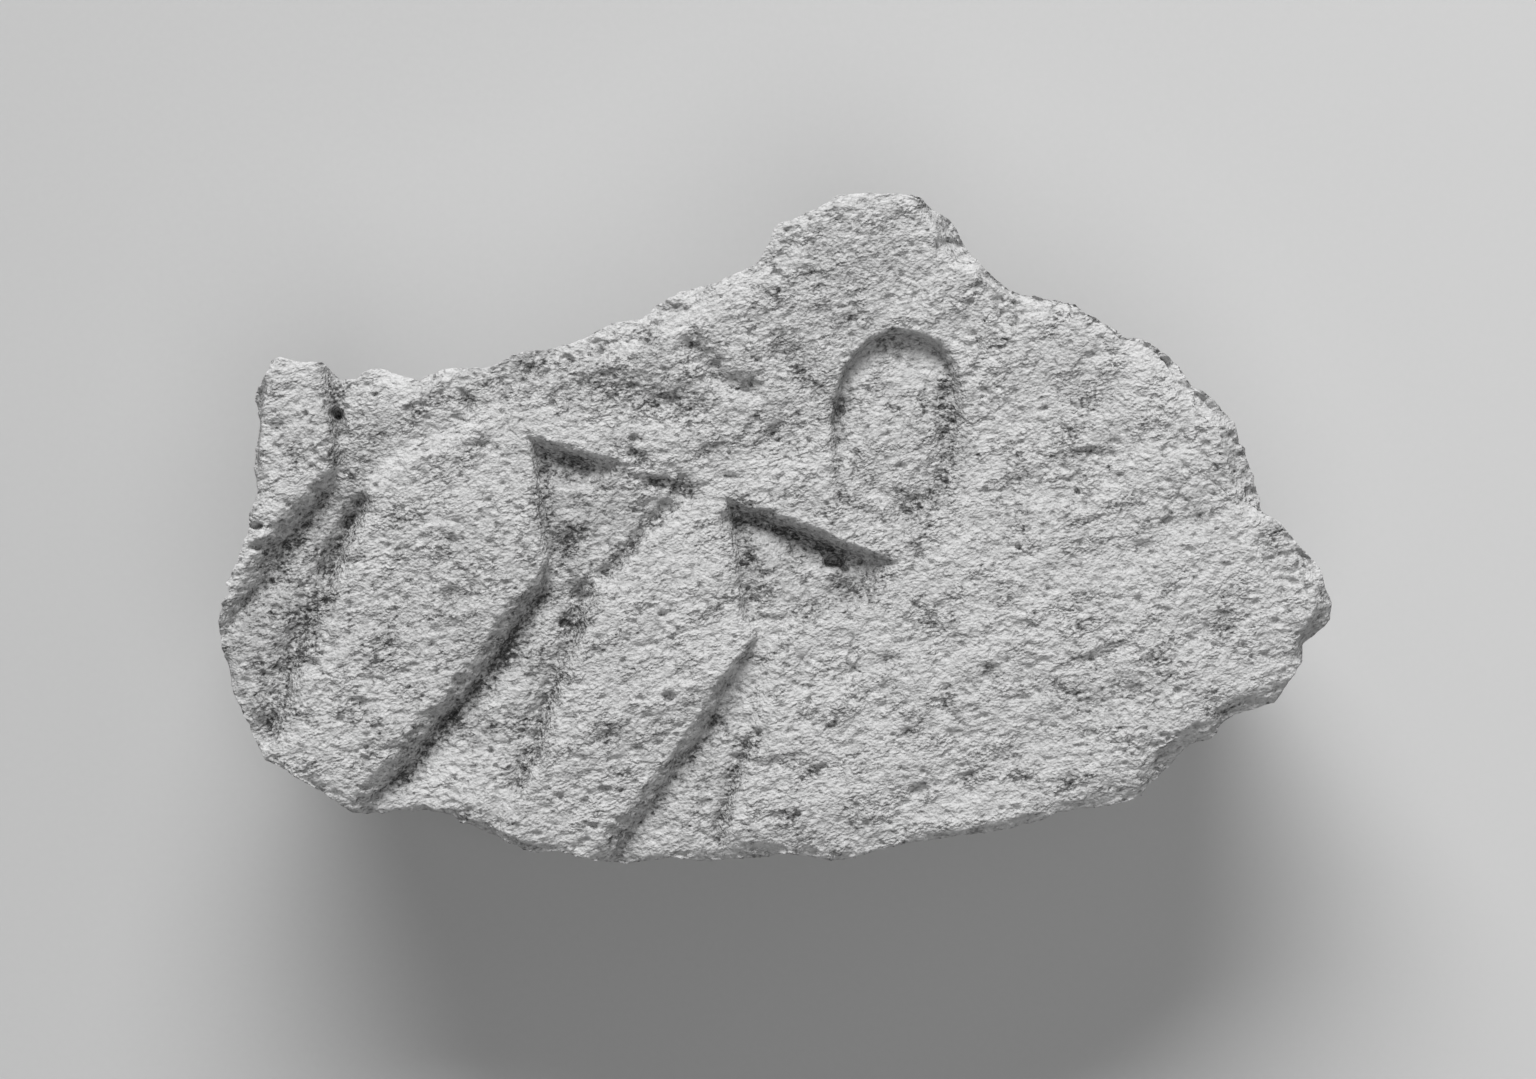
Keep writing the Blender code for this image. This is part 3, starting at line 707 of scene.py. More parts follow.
    SCUFFS = (
        (35.6, 39.0, 3.2, 0.9, -12.0, 0.5), (39.4, 39.6, 1.4, 0.7, -10.0, 0.5),
        (32.7, 39.0, 1.0, 1.0, 0.0, 1.3), (34.9, 32.6, 1.8, 0.9, 0.0, 0.6),
        (39.9, 41.9, 1.0, 0.5, 0.0, 0.5), (46.4, 37.5, 1.5, 1.0, -20.0, 1.7),
        (44.0, 38.1, 1.2, 0.6, 0.0, 0.9), (36.0, 27.1, 2.4, 1.0, 0.0, 0.6),
        (35.0, 23.9, 1.5, 1.2, 0.0, 0.7), (52.0, 34.4, 1.1, 1.7, 0.0, 1.6),
        (51.1, 38.7, 1.2, 0.4, 0.0, 0.4), (31.2, 49.4, 2.4, 1.2, -15.0, 0.5),
        (38.8, 48.0, 4.0, 1.3, -8.0, 0.6), (44.8, 46.5, 2.4, 0.9, 0.0, 0.5),
        (38.2, 51.2, 2.0, 0.8, 15.0, 0.5), (35.1, 49.9, 1.0, 0.6, 0.0, 0.5),
        (43.1, 52.5, 1.2, 0.8, 25.0, 0.5), (45.1, 55.5, 1.4, 0.6, 0.0, 0.4),
        (43.5, 46.0, 2.0, 0.8, 0.0, 0.5), (42.0, 40.6, 1.3, 0.8, -20.0, 0.8),
        (13.0, 34.0, 2.2, 1.0, 62.0, 0.6), (41.6, 42.4, 1.2, 0.4, 0.0, 0.4),
        (48.9, 41.4, 1.2, 0.5, 5.0, 0.4), (36.4, 27.0, 2.0, 0.8, 0.0, 0.6),
        (35.2, 23.3, 1.2, 1.2, 0.0, 0.7), (34.0, 20.6, 0.9, 0.6, 0.0, 0.5),
        (37.3, 21.2, 0.9, 0.6, 0.0, 0.4), (30.7, 13.6, 1.6, 1.0, 60.0, 0.4),
        (31.3, 11.2, 1.5, 1.0, 50.0, 0.6), (13.2, 34.8, 1.6, 0.8, 62.0, 1.0),
        (5.9, 43.5, 0.7, 0.5, 0.0, 0.4), (14.1, 44.7, 1.2, 0.5, -10.0, 0.4),
        (25.1, 46.2, 1.8, 0.6, -20.0, 0.5), (26.5, 41.9, 1.4, 0.5, -10.0, 0.4),
        (23.0, 32.4, 1.3, 0.5, 5.0, 0.5), (23.8, 27.1, 1.6, 0.6, 12.0, 0.5),
        (16.3, 24.4, 2.0, 0.8, -5.0, 0.3), (17.0, 22.2, 1.4, 0.9, 0.0, 0.3),
        (14.1, 16.2, 1.0, 0.4, 0.0, 0.4), (15.2, 11.8, 0.9, 0.4, -10.0, 0.5),
        (17.3, 11.5, 1.5, 0.5, 0.0, 0.5), (38.8, 12.9, 1.5, 0.8, 10.0, 0.6),
        (24.8, 4.9, 0.9, 0.6, 0.0, 0.3), (34.1, 31.2, 1.6, 0.8, 0.0, 0.5),
        (53.0, 30.9, 0.8, 1.0, 0.0, 0.6), (54.7, 29.4, 1.0, 0.6, 0.0, 0.3),
        (53.7, 26.4, 1.6, 0.8, 0.0, 0.5), (63.2, 27.6, 2.0, 0.9, 20.0, 0.6),
        (55.7, 24.4, 1.0, 0.5, 0.0, 0.4), (66.7, 20.4, 0.9, 0.4, 20.0, 0.4),
        (62.9, 18.7, 1.3, 0.6, 20.0, 0.4), (59.2, 14.7, 1.3, 0.4, 20.0, 0.4),
        (56.5, 21.6, 1.5, 0.4, 30.0, 0.5), (69.5, 13.4, 1.6, 0.5, 35.0, 0.5),
        (56.0, 10.2, 1.5, 0.6, 15.0, 0.5), (59.9, 9.4, 1.5, 0.5, 15.0, 0.4),
        (56.4, 4.7, 1.3, 0.7, 0.0, 0.4), (70.2, 7.4, 0.9, 0.5, 0.0, 0.4),
        (52.6, 11.4, 0.9, 0.7, 60.0, 0.5), (72.4, 38.7, 1.0, 1.2, 0.0, 0.4),
        (71.2, 36.8, 1.0, 0.7, 30.0, 0.5), (54.2, 59.9, 1.4, 0.6, 20.0, 0.4),
        (59.2, 59.0, 1.5, 0.8, 0.0, 0.4), (54.8, 56.9, 1.1, 0.6, 0.0, 0.4),
        (61.3, 61.0, 1.2, 0.4, 0.0, 0.4), (55.4, 43.2, 1.5, 0.6, 50.0, 0.6),
        (62.4, 54.2, 1.6, 0.6, 20.0, 0.35), (86.4, 46.4, 2.0, 1.0, 10.0, 0.4),
        (84.9, 43.1, 2.0, 0.8, 10.0, 0.4), (86.9, 41.1, 2.4, 0.6, 10.0, 0.5),
        (79.9, 38.4, 1.5, 0.6, 15.0, 0.4), (98.2, 34.7, 1.2, 0.5, 20.0, 0.5),
        (92.9, 31.9, 1.0, 0.4, 0.0, 0.4), (100.5, 23.7, 2.0, 0.9, 25.0, 0.4),
        (88.2, 20.7, 1.5, 0.6, 20.0, 0.5), (93.2, 20.7, 1.2, 0.6, 20.0, 0.4),
        (91.2, 17.4, 1.8, 0.5, -10.0, 0.5), (85.4, 17.0, 2.0, 0.9, -20.0, 0.5),
        (85.2, 8.1, 1.1, 0.6, 50.0, 0.5), (79.9, 8.4, 1.1, 0.6, 0.0, 0.3),
        (77.2, 19.1, 1.0, 0.5, 0.0, 0.4),
    )

    # Darker patches painted only on the carving's floors, some of them painted shade
    FLOOR_DARKENING = (
        (36.4, 37.0, 8.0, 6.0, 60.0, 0.80), (57.0, 31.0, 8.0, 5.4, -15.0, 0.65),
        # The first row here is painted shade on the left flower's floor, which faces away from the light
        (6.4, 26.6, 12.0, 3.6, 62.0, 0.75), (50.6, 14.0, 10.0, 2.6, 66.0, 0.26),
        # The first row here is painted shade along the middle flower's upright left edge
        (32.9, 36.5, 6.0, 1.8, 85.0, 0.6), (68.3, 42.5, 9.0, 6.0, 84.0, 0.12),
        # Painted shade along the right flower's upright left edge
        (53.0, 30.5, 5.5, 1.8, 87.0, 0.9),
    )
    # Grime and darker patches that lie anywhere, and painted shade along the oval's faint sides and in the
    # pit at its left
    GRIME_AND_SHADE = (
        # The first patch darkens the face broadly towards its left end
        (18.0, 22.0, 17.0, 13.0, 30.0, 0.26), (64.0, 60.0, 10.0, 7.0, 0.0, 0.18),
        (43.0, 18.0, 9.0, 4.0, 65.0, 0.26), (46.4, 37.5, 1.7, 1.1, -20.0, 1.1),
        # From the second row here on: painted shade along the oval's faint sides, and last in the pit at
        # its left
        (44.0, 38.1, 1.1, 0.6, 0.0, 0.7), (62.2, 43.2, 3.0, 0.5, 88.0, 0.55),
        (62.2, 38.4, 2.6, 0.5, 90.0, 0.40), (66.2, 34.5, 3.0, 0.4, -3.0, 0.45),
        (72.0, 37.8, 2.4, 1.0, 75.0, 0.50), (73.2, 42.6, 3.0, 0.8, 86.0, 0.30),
        (62.4, 45.5, 0.8, 0.6, 60.0, 0.8),
    )
    # Broad patches where the skin of the stone has begun to rot
    STAINS = (
        (13.6, 41.6, 4.6, 2.6, 70.0, 0.30), (40.0, 49.0, 12.0, 2.6, -4.0, 0.36),
        (55.6, 46.6, 7.0, 5.0, 0.0, 0.24), (62.0, 60.0, 8.0, 5.0, 20.0, 0.20),
        (73.2, 44.0, 7.5, 2.6, 80.0, 0.26), (20.0, 30.0, 4.0, 3.0, 0.0, 0.20),
        (34.6, 22.0, 7.0, 1.8, 66.0, 0.12),
    )

    def oval(self) -> SunkForm:
        """Draws the oval sign, deepest over its top: a superellipse that leans to the right.

        At each angle x is the half width times cos^(2/n) and y the half height times sin^(2/n).

        Returns:
            The form, its deep side over the top and its soft side under the bottom.
        """
        last = self.OVAL_FROM + 2.0 * math.pi
        angles = np.linspace(self.OVAL_FROM, last, self.OVAL_POINTS, endpoint=False)
        bent = 2.0 / self.OVAL_SQUARENESS
        across = np.sign(np.cos(angles)) * np.abs(np.cos(angles)) ** bent * self.OVAL_HALVES[0]
        along = np.sign(np.sin(angles)) * np.abs(np.sin(angles)) ** bent * self.OVAL_HALVES[1]
        x = self.OVAL_CENTRE[0] + across * math.cos(self.OVAL_LEAN) + along * math.sin(self.OVAL_LEAN)
        y = self.OVAL_CENTRE[1] - across * math.sin(self.OVAL_LEAN) + along * math.cos(self.OVAL_LEAN)
        share = self.OVAL_SHARE + self.OVAL_SHARE_SWING * np.cos(angles - self.OVAL_DEEPEST)
        run = self.OVAL_RUN + self.OVAL_RUN_SWING * np.cos(angles - self.OVAL_WIDEST)
        deep = angles <= self.OVAL_DEEP_TO
        rows = np.stack([x, y, run, share], axis=1)
        return SunkForm("oval sign", [tuple(r) for r in rows[deep]], [tuple(r[:2]) for r in rows[~deep]])

    def swell(self, at: Array) -> Array:
        """Works out the old face's unevenness: the sum of the sine waves.

        Args:
            at: Rows of x and y, in squares.

        Returns:
            The unevenness at each point, as a share of the wear.
        """
        total = np.zeros(len(at))
        for length, lie, start, amount in self.WAVES:
            turn = math.radians(lie)
            travel = at[:, 1] * math.cos(turn) - at[:, 0] * math.sin(turn)
            total += amount * np.sin(2.0 * math.pi * (travel / length + start))
        return total

    def wandered(self, places: Array) -> Array:
        """Moves places by noise, so that an outline that is read from there wanders, as a worn edge does.

        Args:
            places: Rows of x and y, in squares.

        Returns:
            The moved places.
        """
        level = np.column_stack([places, np.zeros(len(places))])
        drift = [GradientNoise(seed).layers(level, self.wander_wavelengths) for seed in (1, 2)]
        return places + self.wander * np.stack(drift, axis=1)

    def carved(self, at: Array) -> Array:
        """Cuts the flowers and the oval. Where two of them meet, the larger number holds.

        Args:
            at: Rows of x and y, in squares.

        Returns:
            Three rows: the share of the full cut, how much each point is wall, and how much a wall's foot.
        """
        return np.max([form.cut(at) for form in (*self.FLOWERS, self.oval())], axis=0)

    def scarred(self, at: Array, depth: Array) -> Array:
        """Takes the flakes off the rim, in place.

        Beyond its lip a scar drops by b * (2 - b) of its depth, b being the share of its run.

        Args:
            at: Rows of x and y, in squares.
            depth: The depth at each point, in metres.

        Returns:
            How much each point is scar.
        """
        scar = np.zeros(len(at))
        for run, lip in self.CHIPS:
            stroke = Stroke.through(lip)
            close = stroke.within(at, self.scar_reach + run)
            near = stroke.near(at[close])
            beyond = np.where(near.side > 0.0, np.clip(near.distance / run, 0.0, 1.0), 0.0)
            drop = near.values[:, 0] * beyond * (2.0 - beyond)
            depth[close] += self.chip_drop * drop
            scar[close] = np.maximum(scar[close], drop)
        return scar

    def dirtied_and_shaded(self, at: Array, foot: Array, on_floor: Array) -> Array:
        """Darkens the face with soil and painted shade: at the walls' feet, on the carving's floors and
        anywhere.

        Args:
            at: Rows of x and y, in squares.
            foot: How much each point is a wall's foot.
            on_floor: How much it is a floor of the carving.

        Returns:
            How darkened each point is, from 0 to 1, by soil and by painted shade.
        """
        dirt_and_shade = foot
        for rows, where in ((self.FLOOR_DARKENING, on_floor), (self.GRIME_AND_SHADE, np.ones(len(at)))):
            for row in rows:
                patch = np.zeros(len(at))
                Mark(Wear.STAIN, *row).press(at, np.zeros(len(at)), patch)
                dirt_and_shade = np.maximum(dirt_and_shade, patch * where)
        return dirt_and_shade

    def streaked(self, flat: Array, places: Array) -> Array:
        """Works out the streaks: noise stretched along one way across the face, stronger at its right end.

        Args:
            flat: Rows of x and y, in metres.
            places: The same in squares.

        Returns:
            How far each point goes in, in metres.
        """
        turn = math.radians(self.streak_lie)
        along = (flat[:, 0] * math.cos(turn) + flat[:, 1] * math.sin(turn)) / self.streak_stretch
        across = flat[:, 1] * math.cos(turn) - flat[:, 0] * math.sin(turn)
        lean = np.column_stack([along, across, np.zeros(len(flat))])
        rightward = smooth((places[:, 0] - self.streaks_gain_from) / self.streaks_gain_over)
        strength = self.streaks_left + self.streaks_gain * rightward
        return GradientNoise(4).layers(lean, self.streaks) * strength

    def sample(self, places: Array) -> FaceSample:
        """Works out the face: the carving, the scars, the worn rim, the swell, the marks, pits and grain.

        Where a slow noise passes a limit the skin is rotten, lies deeper and has a coarser grain. The walls
        and the scars are coarse too. The hollows are noise above a limit. The pits are read from places
        that the grain has moved, so that they aren't round. Shade is painted into the colour as well: in
        the crevices and pits, along the grooves, on the walls and at their feet, on some of the carving's
        floors and along the oval's sides.

        Args:
            places: Rows of x and y, in squares.

        Returns:
            The face's height, how rotten and how dirty it is, both with painted shade added, and the shade
            painted in its crevices, at each point.
        """
        flat = self.paper.to_metres(places)
        deep = np.column_stack([flat, np.zeros(len(flat))])
        at = self.wandered(places)
        share, wall, foot = self.carved(at)
        depth = self.cut_depth * share
        scar = self.scarred(at, depth)
        depth += self.wear * self.swell(places)

        noise = GradientNoise(3)
        slow = noise.layers(deep, self.rot_wavelengths)
        # The skin's rot, to which painted shade is added below: at the walls' feet, on the walls, in pits
        # and along grooves
        rot = self.rot_most * smooth((slow - self.rot_from) / self.rot_over)
        # The walls' feet and the scars count as rotten here: for the feet this is painted shade in the
        # crease under each wall, with dirt
        rot = np.maximum(np.maximum(rot, foot), self.scar_rot * scar)
        for groove in self.GROOVES:
            groove.press(at, depth, rot, self.cut_depth)
        marks = (
            (Wear.STAIN, self.STAINS),
            (Wear.PIT, self.PITS),
            (Wear.KNOB, self.KNOBS),
            (Wear.SCUFF, self.SCUFFS),
        )
        for kind, rows in marks:
            for row in rows:
                Mark(kind, *row).press(at, depth, rot)
        # The walls are painted darker with coarser speckle, a painted shade on faces that fall away from
        # the light; this also sinks and roughens their skin
        rot = np.maximum(rot, self.wall_shade_and_rot * wall)
        # The feet's painted shade and dirt, broken into patches by slow noise, also go into the dirt values
        foot = foot * smooth(self.foot_patch_middle + self.foot_patch_swing * noise.at(deep, self.foot_patch_wavelength))
        dirt_and_shade = self.dirtied_and_shaded(at, foot, smooth(share / self.floor_darkening_share_over) * (1.0 - wall))

        slice_height = np.full(len(flat), self.grain_level)
        level = np.column_stack([flat[:, 0] / self.grain_stretch, flat[:, 1], slice_height])
        grain = GradientNoise(5).layers(level, self.grain)
        coarse = GradientNoise(6).layers(level, self.rot_grain)
        hollows = np.zeros(len(flat))
        for number, (wavelength, amount, start) in enumerate(self.hollows):
            above = GradientNoise(40 + number).at(level, wavelength) - start
            hollows += amount * smooth(above / self.hollow_over)
        drifted = flat + self.pit_drift * np.stack([grain, coarse], axis=1)
        pits = np.max([p.depth(drifted) for p in self.pits], axis=0)
        broken = np.minimum(self.scar_roughness * scar, 1.0)
        rough = self.streaked(flat, places) + grain + rot * self.rot_depth
        rough += (hollows + pits) * (1.0 + self.wall_pitting * wall + broken)
        rough += np.maximum(rot, np.maximum(self.wall_coarseness * wall, broken)) * coarse

        rim = Stroke.through(Outline.points(), closed=True)
        edge = np.exp(-rim.near(places).distance / self.rim_reach)
        uneven = 1.0 + self.rim_unevenness * GradientNoise(7).at(deep, self.rim_wavelength)
        depth += self.rim_round * edge * uneven
        height = self.top - (depth - np.percentile(depth, self.highest_share)) - rough
        # Painted shade: the deeper the grain, the hollows, the rotten coarse grain and the pits go in, the
        # darker the colour is painted
        crevice_shade = np.clip((grain + hollows + coarse * rot + pits) / self.crevice_shade_scale, *self.crevice_shade_ends)
        return FaceSample(height, rot, dirt_and_shade, crevice_shade)


class Outline:
    """The slab's outline seen from above, clockwise, in squares from its lower left, side by side.

    The jags are given by their wavelength and their size, in squares.
    """

    LEFT = (
        (9.8, 7.9), (8.1, 9.0), (7.0, 9.6), (4.8, 10.4), (4.2, 11.5), (3.3, 12.9), (3.0, 14.0),
        (2.2, 15.4), (1.6, 16.5), (1.2, 18.5), (0.8, 19.9), (0.4, 21.2), (0.0, 23.2), (0.1, 24.9),
        (0.4, 26.2), (1.2, 27.0), (0.9, 28.2), (1.5, 29.4), (2.0, 30.3), (2.3, 31.9), (2.9, 33.0),
        (3.1, 34.1), (3.0, 34.9), (3.4, 35.6), (3.8, 36.9), (3.8, 38.5), (3.4, 39.6), (3.4, 40.7),
        (3.7, 41.9), (4.0, 43.8), (3.8, 45.2), (3.6, 46.3), (3.8, 47.4), (4.2, 48.2), (4.7, 48.8),
        (5.2, 49.6), (5.4, 50.3),
    )
    TOP = (
        (5.4, 50.3), (6.2, 50.7), (7.3, 50.5), (9.4, 50.2), (10.5, 50.2), (11.1, 49.4), (11.8, 48.8),
        (12.3, 48.4), (14.0, 48.7), (14.5, 49.2), (15.4, 49.5), (16.8, 49.4), (18.1, 49.0),
        (20.2, 48.3), (20.9, 48.8), (22.0, 49.4), (23.1, 49.6), (26.5, 49.6), (28.6, 50.3),
        (29.5, 51.0), (30.7, 51.2), (33.4, 51.6), (36.2, 52.4), (38.2, 53.4), (38.9, 53.9),
        (40.1, 54.3), (42.4, 54.6), (43.7, 55.8), (45.1, 56.6), (46.2, 57.2), (48.2, 57.7),
        (50.1, 58.2), (51.8, 59.0), (53.2, 59.8), (54.2, 60.4), (54.6, 61.2), (55.3, 62.5),
        (55.6, 63.4), (56.2, 64.1), (57.4, 64.4), (58.5, 65.0), (59.9, 65.5), (61.0, 66.2),
        (62.1, 66.8), (64.6, 67.1), (66.0, 67.0), (67.6, 67.0), (69.0, 66.9), (70.4, 66.5),
        (71.5, 65.7), (72.9, 64.8), (73.3, 64.3), (74.0, 63.2), (74.6, 62.0), (75.3, 61.1),
        (76.2, 59.9), (77.6, 58.8), (78.9, 57.6), (80.2, 57.0), (82.2, 56.5), (85.4, 55.8),
        (86.2, 55.0), (87.4, 54.5), (88.4, 54.0), (89.5, 53.2), (90.2, 52.5), (91.0, 52.4),
        (92.4, 52.1), (93.4, 51.5), (94.1, 50.8), (95.0, 50.1), (95.2, 49.2), (95.8, 48.3),
        (96.6, 47.6), (97.6, 47.2), (98.4, 46.5), (99.1, 45.5), (99.8, 44.9),
    )
    RIGHT = (
        (99.8, 44.9), (100.1, 45.3), (100.8, 45.1), (101.6, 44.4), (102.0, 43.3), (102.2, 42.0),
        (102.9, 41.6), (103.1, 40.3), (103.5, 39.1), (103.9, 37.8), (104.3, 36.5), (104.5, 35.1),
        (105.5, 34.6), (106.3, 34.1), (106.8, 33.3), (108.1, 31.9), (109.1, 30.8), (110.0, 29.9),
        (110.6, 28.3), (111.1, 27.0), (111.4, 25.8), (111.3, 24.5), (110.8, 23.7), (109.5, 22.7),
        (108.7, 22.0), (108.4, 20.3), (107.9, 19.5), (107.0, 18.2), (106.3, 17.1), (105.8, 16.1),
        (104.2, 15.7), (101.6, 15.0), (100.5, 14.2), (100.1, 13.7), (99.6, 12.7), (98.9, 12.3),
        (97.9, 12.3), (96.8, 11.6), (95.8, 10.6), (95.0, 9.6), (94.2, 9.0), (93.0, 7.9), (92.4, 6.9),
        (91.3, 6.4),
    )
    BOTTOM = (
        (91.3, 6.4), (90.2, 6.1), (88.9, 5.8), (86.8, 5.6), (85.2, 5.3), (83.9, 5.2), (82.4, 4.4),
        (80.5, 4.0), (79.5, 3.5), (77.4, 3.2), (75.2, 2.9), (70.3, 2.3), (68.1, 1.9), (66.1, 1.4),
        (64.2, 0.7), (62.2, 0.3), (60.0, 0.5), (58.1, 0.9), (56.1, 1.0), (54.2, 0.6), (52.0, 0.5),
        (49.2, 0.2), (46.1, 0.5), (44.7, 0.5), (42.8, 0.1), (40.3, 0.0), (37.9, 0.3), (36.1, 0.7),
        (34.8, 1.2), (33.7, 1.4), (32.0, 1.2), (30.6, 1.5), (29.2, 2.1), (28.3, 2.5), (26.5, 3.3),
        (24.2, 4.2), (23.7, 4.7), (22.3, 5.1), (20.4, 5.3), (18.1, 5.3), (16.5, 5.1), (14.8, 4.9),
        (13.4, 5.1), (12.4, 5.8), (11.3, 6.9), (9.8, 7.9),
    )
    JAGS = {1.9: 0.10, 0.9: 0.12, 0.5: 0.08}
    JAGS_FADE = 1.5

    @classmethod
    def points(cls) -> list[Point]:
        """Lists the whole outline once round."""
        return [*cls.LEFT[:-1], *cls.TOP[:-1], *cls.RIGHT[:-1], *cls.BOTTOM[:-1]]

    @classmethod
    def side(cls, corners: Sequence[Point], count: int) -> Array:
        """Spaces points evenly along one side and breaks it into small jags.

        Each point is at its share of the side's length, moved by noise read at its place. The noise fades
        at the side's ends, so that the sides meet.

        Args:
            corners: The side's points.
            count: How many pieces to make.

        Returns:
            Rows of x and y, in squares, one more than the pieces.
        """
        line = np.array(corners)
        travelled = np.concatenate([[0.0], np.cumsum(np.hypot(*np.diff(line, axis=0).T))])
        share = np.linspace(0.0, travelled[-1], count + 1)
        even = np.stack([np.interp(share, travelled, line[:, k]) for k in (0, 1)], axis=1)
        flat = np.column_stack([even, np.zeros(len(even))])
        jags = np.stack([GradientNoise(seed).layers(flat, cls.JAGS) for seed in (21, 22)], axis=1)
        ends = smooth(np.minimum(share, travelled[-1] - share) / cls.JAGS_FADE)
        return even + jags * ends[:, None]


def coons(bottom: Array, top: Array, left: Array, right: Array) -> Array:
    """Fills the space between four sides that meet at their ends.

    The point at shares u and v is the blend of bottom and top by v, plus the blend of left and right by u,
    less the blend of the four corners by both.

    Args:
        bottom: Points from the lower left to the lower right.
        top: Points from the upper left to the upper right, as many as the bottom's.
        left: Points from the lower left to the upper left.
        right: Points from the lower right to the upper right, as many as the left's.

    Returns:
        A grid of points, by columns and then rows.
    """
    u = np.linspace(0.0, 1.0, len(bottom))[:, None, None]
    v = np.linspace(0.0, 1.0, len(left))[None, :, None]
    level = (1.0 - v) * bottom[:, None] + v * top[:, None]
    upright = (1.0 - u) * left[None] + u * right[None]
    corners = (1.0 - u) * ((1.0 - v) * bottom[0] + v * top[0]) + u * ((1.0 - v) * bottom[-1] + v * top[-1])
    return level + upright - corners


class Shell(NamedTuple):
    """A closed skin of four-sided faces."""

    points: Array
    faces: Array


@dataclass(frozen=True)
class BrokenSides:
    """The broken sides that go down from the rim to the flat back, drawn in and cut back by large facets.

    Shares run from 0 at the rim to 1 at the back. The smoothing reach is in squares.
    """

    thickness: float
    paper: SquaredPaper
    rows: int = 64
    taper: float = 0.07
    taper_bend: float = 1.5
    base_pull: float = 0.045
    base_pull_from: float = 0.86
    smoothing_reach: float = 7.0
    smoothed_by: float = 0.5
    rough_from: float = 0.12
    cut_in: float = 0.6
    roughness: Mapping[float, float] = field(
        default_factory=lambda: {11.0 * MM: 0.9 * MM, 5.0 * MM: 0.45 * MM, 2.4 * MM: 0.24 * MM}
    )

    # Each wave: its length in squares, lie in degrees, start as a share of a wave, and amount in squares
    WAVES = (
        (23.0, 25.0, 0.20, 0.34), (14.0, -40.0, 0.65, 0.24), (9.0, 70.0, 0.40, 0.18),
        (6.1, 15.0, 0.05, 0.14),
    )
    # Each facet: the way it faces, its lean in from upright, and its start as a share of the thickness
    FACETS = (
        (2, 24, 0.80), (-28, 34, 0.62), (-58, 20, 0.86), (-92, 16, 0.74), (-124, 30, 0.62),
        (-158, 20, 0.84), (176, 26, 0.52), (146, 18, 0.86), (118, 30, 0.66), (84, 24, 0.80),
        (52, 22, 0.84), (27, 32, 0.60), (-75, 52, 0.24), (-12, 56, 0.26), (64, 50, 0.24),
        (133, 54, 0.28), (-141, 55, 0.22), (-176, 50, 0.26),
    )

    def smoothed(self, rim: Array) -> Array:
        """Draws each point of the rim to the mean of those near it.

        Each of them is weighted by a bell of the way between them and by the length of rim that it holds.

        Args:
            rim: The rim's points, in squares.

        Returns:
            The rim with its small turns taken out.
        """
        steps = np.linalg.norm(np.roll(rim, -1, axis=0) - rim, axis=1)
        place = np.concatenate([[0.0], np.cumsum(steps)[:-1]])
        gap = np.abs(place[:, None] - place[None])
        gap = np.minimum(gap, steps.sum() - gap)
        weight = bell(gap / self.smoothing_reach) * (steps + np.roll(steps, 1))[None]
        return weight @ rim / weight.sum(1, keepdims=True)

    def ring(self, rim: Array, smooth_rim: Array, outward: Array, height: Array, share: float) -> Array:
        """Draws the sides at one level.

        The rim shrinks towards the slab's middle with depth and grows smoother, is roughened inwards, and
        is held behind the planes of the facets, each of which leans in under the slab from where it starts.

        Args:
            rim: The rim's points, in squares.
            smooth_rim: The rim with its small turns taken out.
            outward: The way out of the rim at each point.
            height: The level's height at each point, in metres.
            share: How far down the sides it is, from 0 to 1.

        Returns:
            The level's points, in squares.
        """
        centre = np.array(self.paper.centre)
        near_base = np.array((share - self.base_pull_from) / (1.0 - self.base_pull_from))
        pulled = self.base_pull * smooth(near_base)
        scale = 1.0 - self.taper * share**self.taper_bend - pulled
        eased = smooth(np.array(share / self.smoothed_by))
        soft = self.smoothed_by * eased
        ring = centre + scale * ((1.0 - soft) * rim + soft * smooth_rim - centre)
        level = height / self.paper.square
        rough = np.zeros(len(rim))
        for length, lie, start, amount in self.WAVES:
            turn = math.radians(lie)
            travel = (rim[:, 1] - level) * math.cos(turn) - (rim[:, 0] + level) * math.sin(turn)
            rough += amount * (np.sin(2.0 * math.pi * (travel / length + start)) - 1.0)
        ring = ring + eased * rough[:, None] * outward
        for facing, lean, start in self.FACETS:
            way = np.array([math.cos(math.radians(facing)), math.sin(math.radians(facing))])
            below = np.maximum(start * self.thickness - height, 0.0) / self.paper.square
            limit = ((rim - centre) @ way).max() - below * math.tan(math.radians(lean))
            ring = ring - np.maximum((ring - centre) @ way - limit, 0.0)[:, None] * way
        return ring

    def levels(self, rim: Array, rim_height: Array) -> Array:
        """Works out every level of the sides, roughened by noise that only cuts in.

        Args:
            rim: The rim's points, in squares.
            rim_height: Its height at each point, in metres.

        Returns:
            Points in metres, by levels and then round the rim, the rim itself left out.
        """
        smooth_rim = self.smoothed(rim)
        along = np.roll(smooth_rim, -1, axis=0) - np.roll(smooth_rim, 1, axis=0)
        outward = np.stack([-along[:, 1], along[:, 0]], axis=1)
        outward /= np.linalg.norm(outward, axis=1, keepdims=True)
        noise = GradientNoise(31)
        deepest = sum(self.roughness.values())
        made = []
        for share in np.linspace(0.0, 1.0, self.rows + 1)[1:]:
            height = rim_height * (1.0 - share)
            flat = self.paper.to_metres(self.ring(rim, smooth_rim, outward, height, share))
            rough = noise.layers(np.column_stack([flat, height]), self.roughness) - self.cut_in * deepest
            flat = flat + smooth(np.array(share / self.rough_from)) * rough[:, None] * outward
            made.append(np.column_stack([flat, height]))
        return np.array(made)


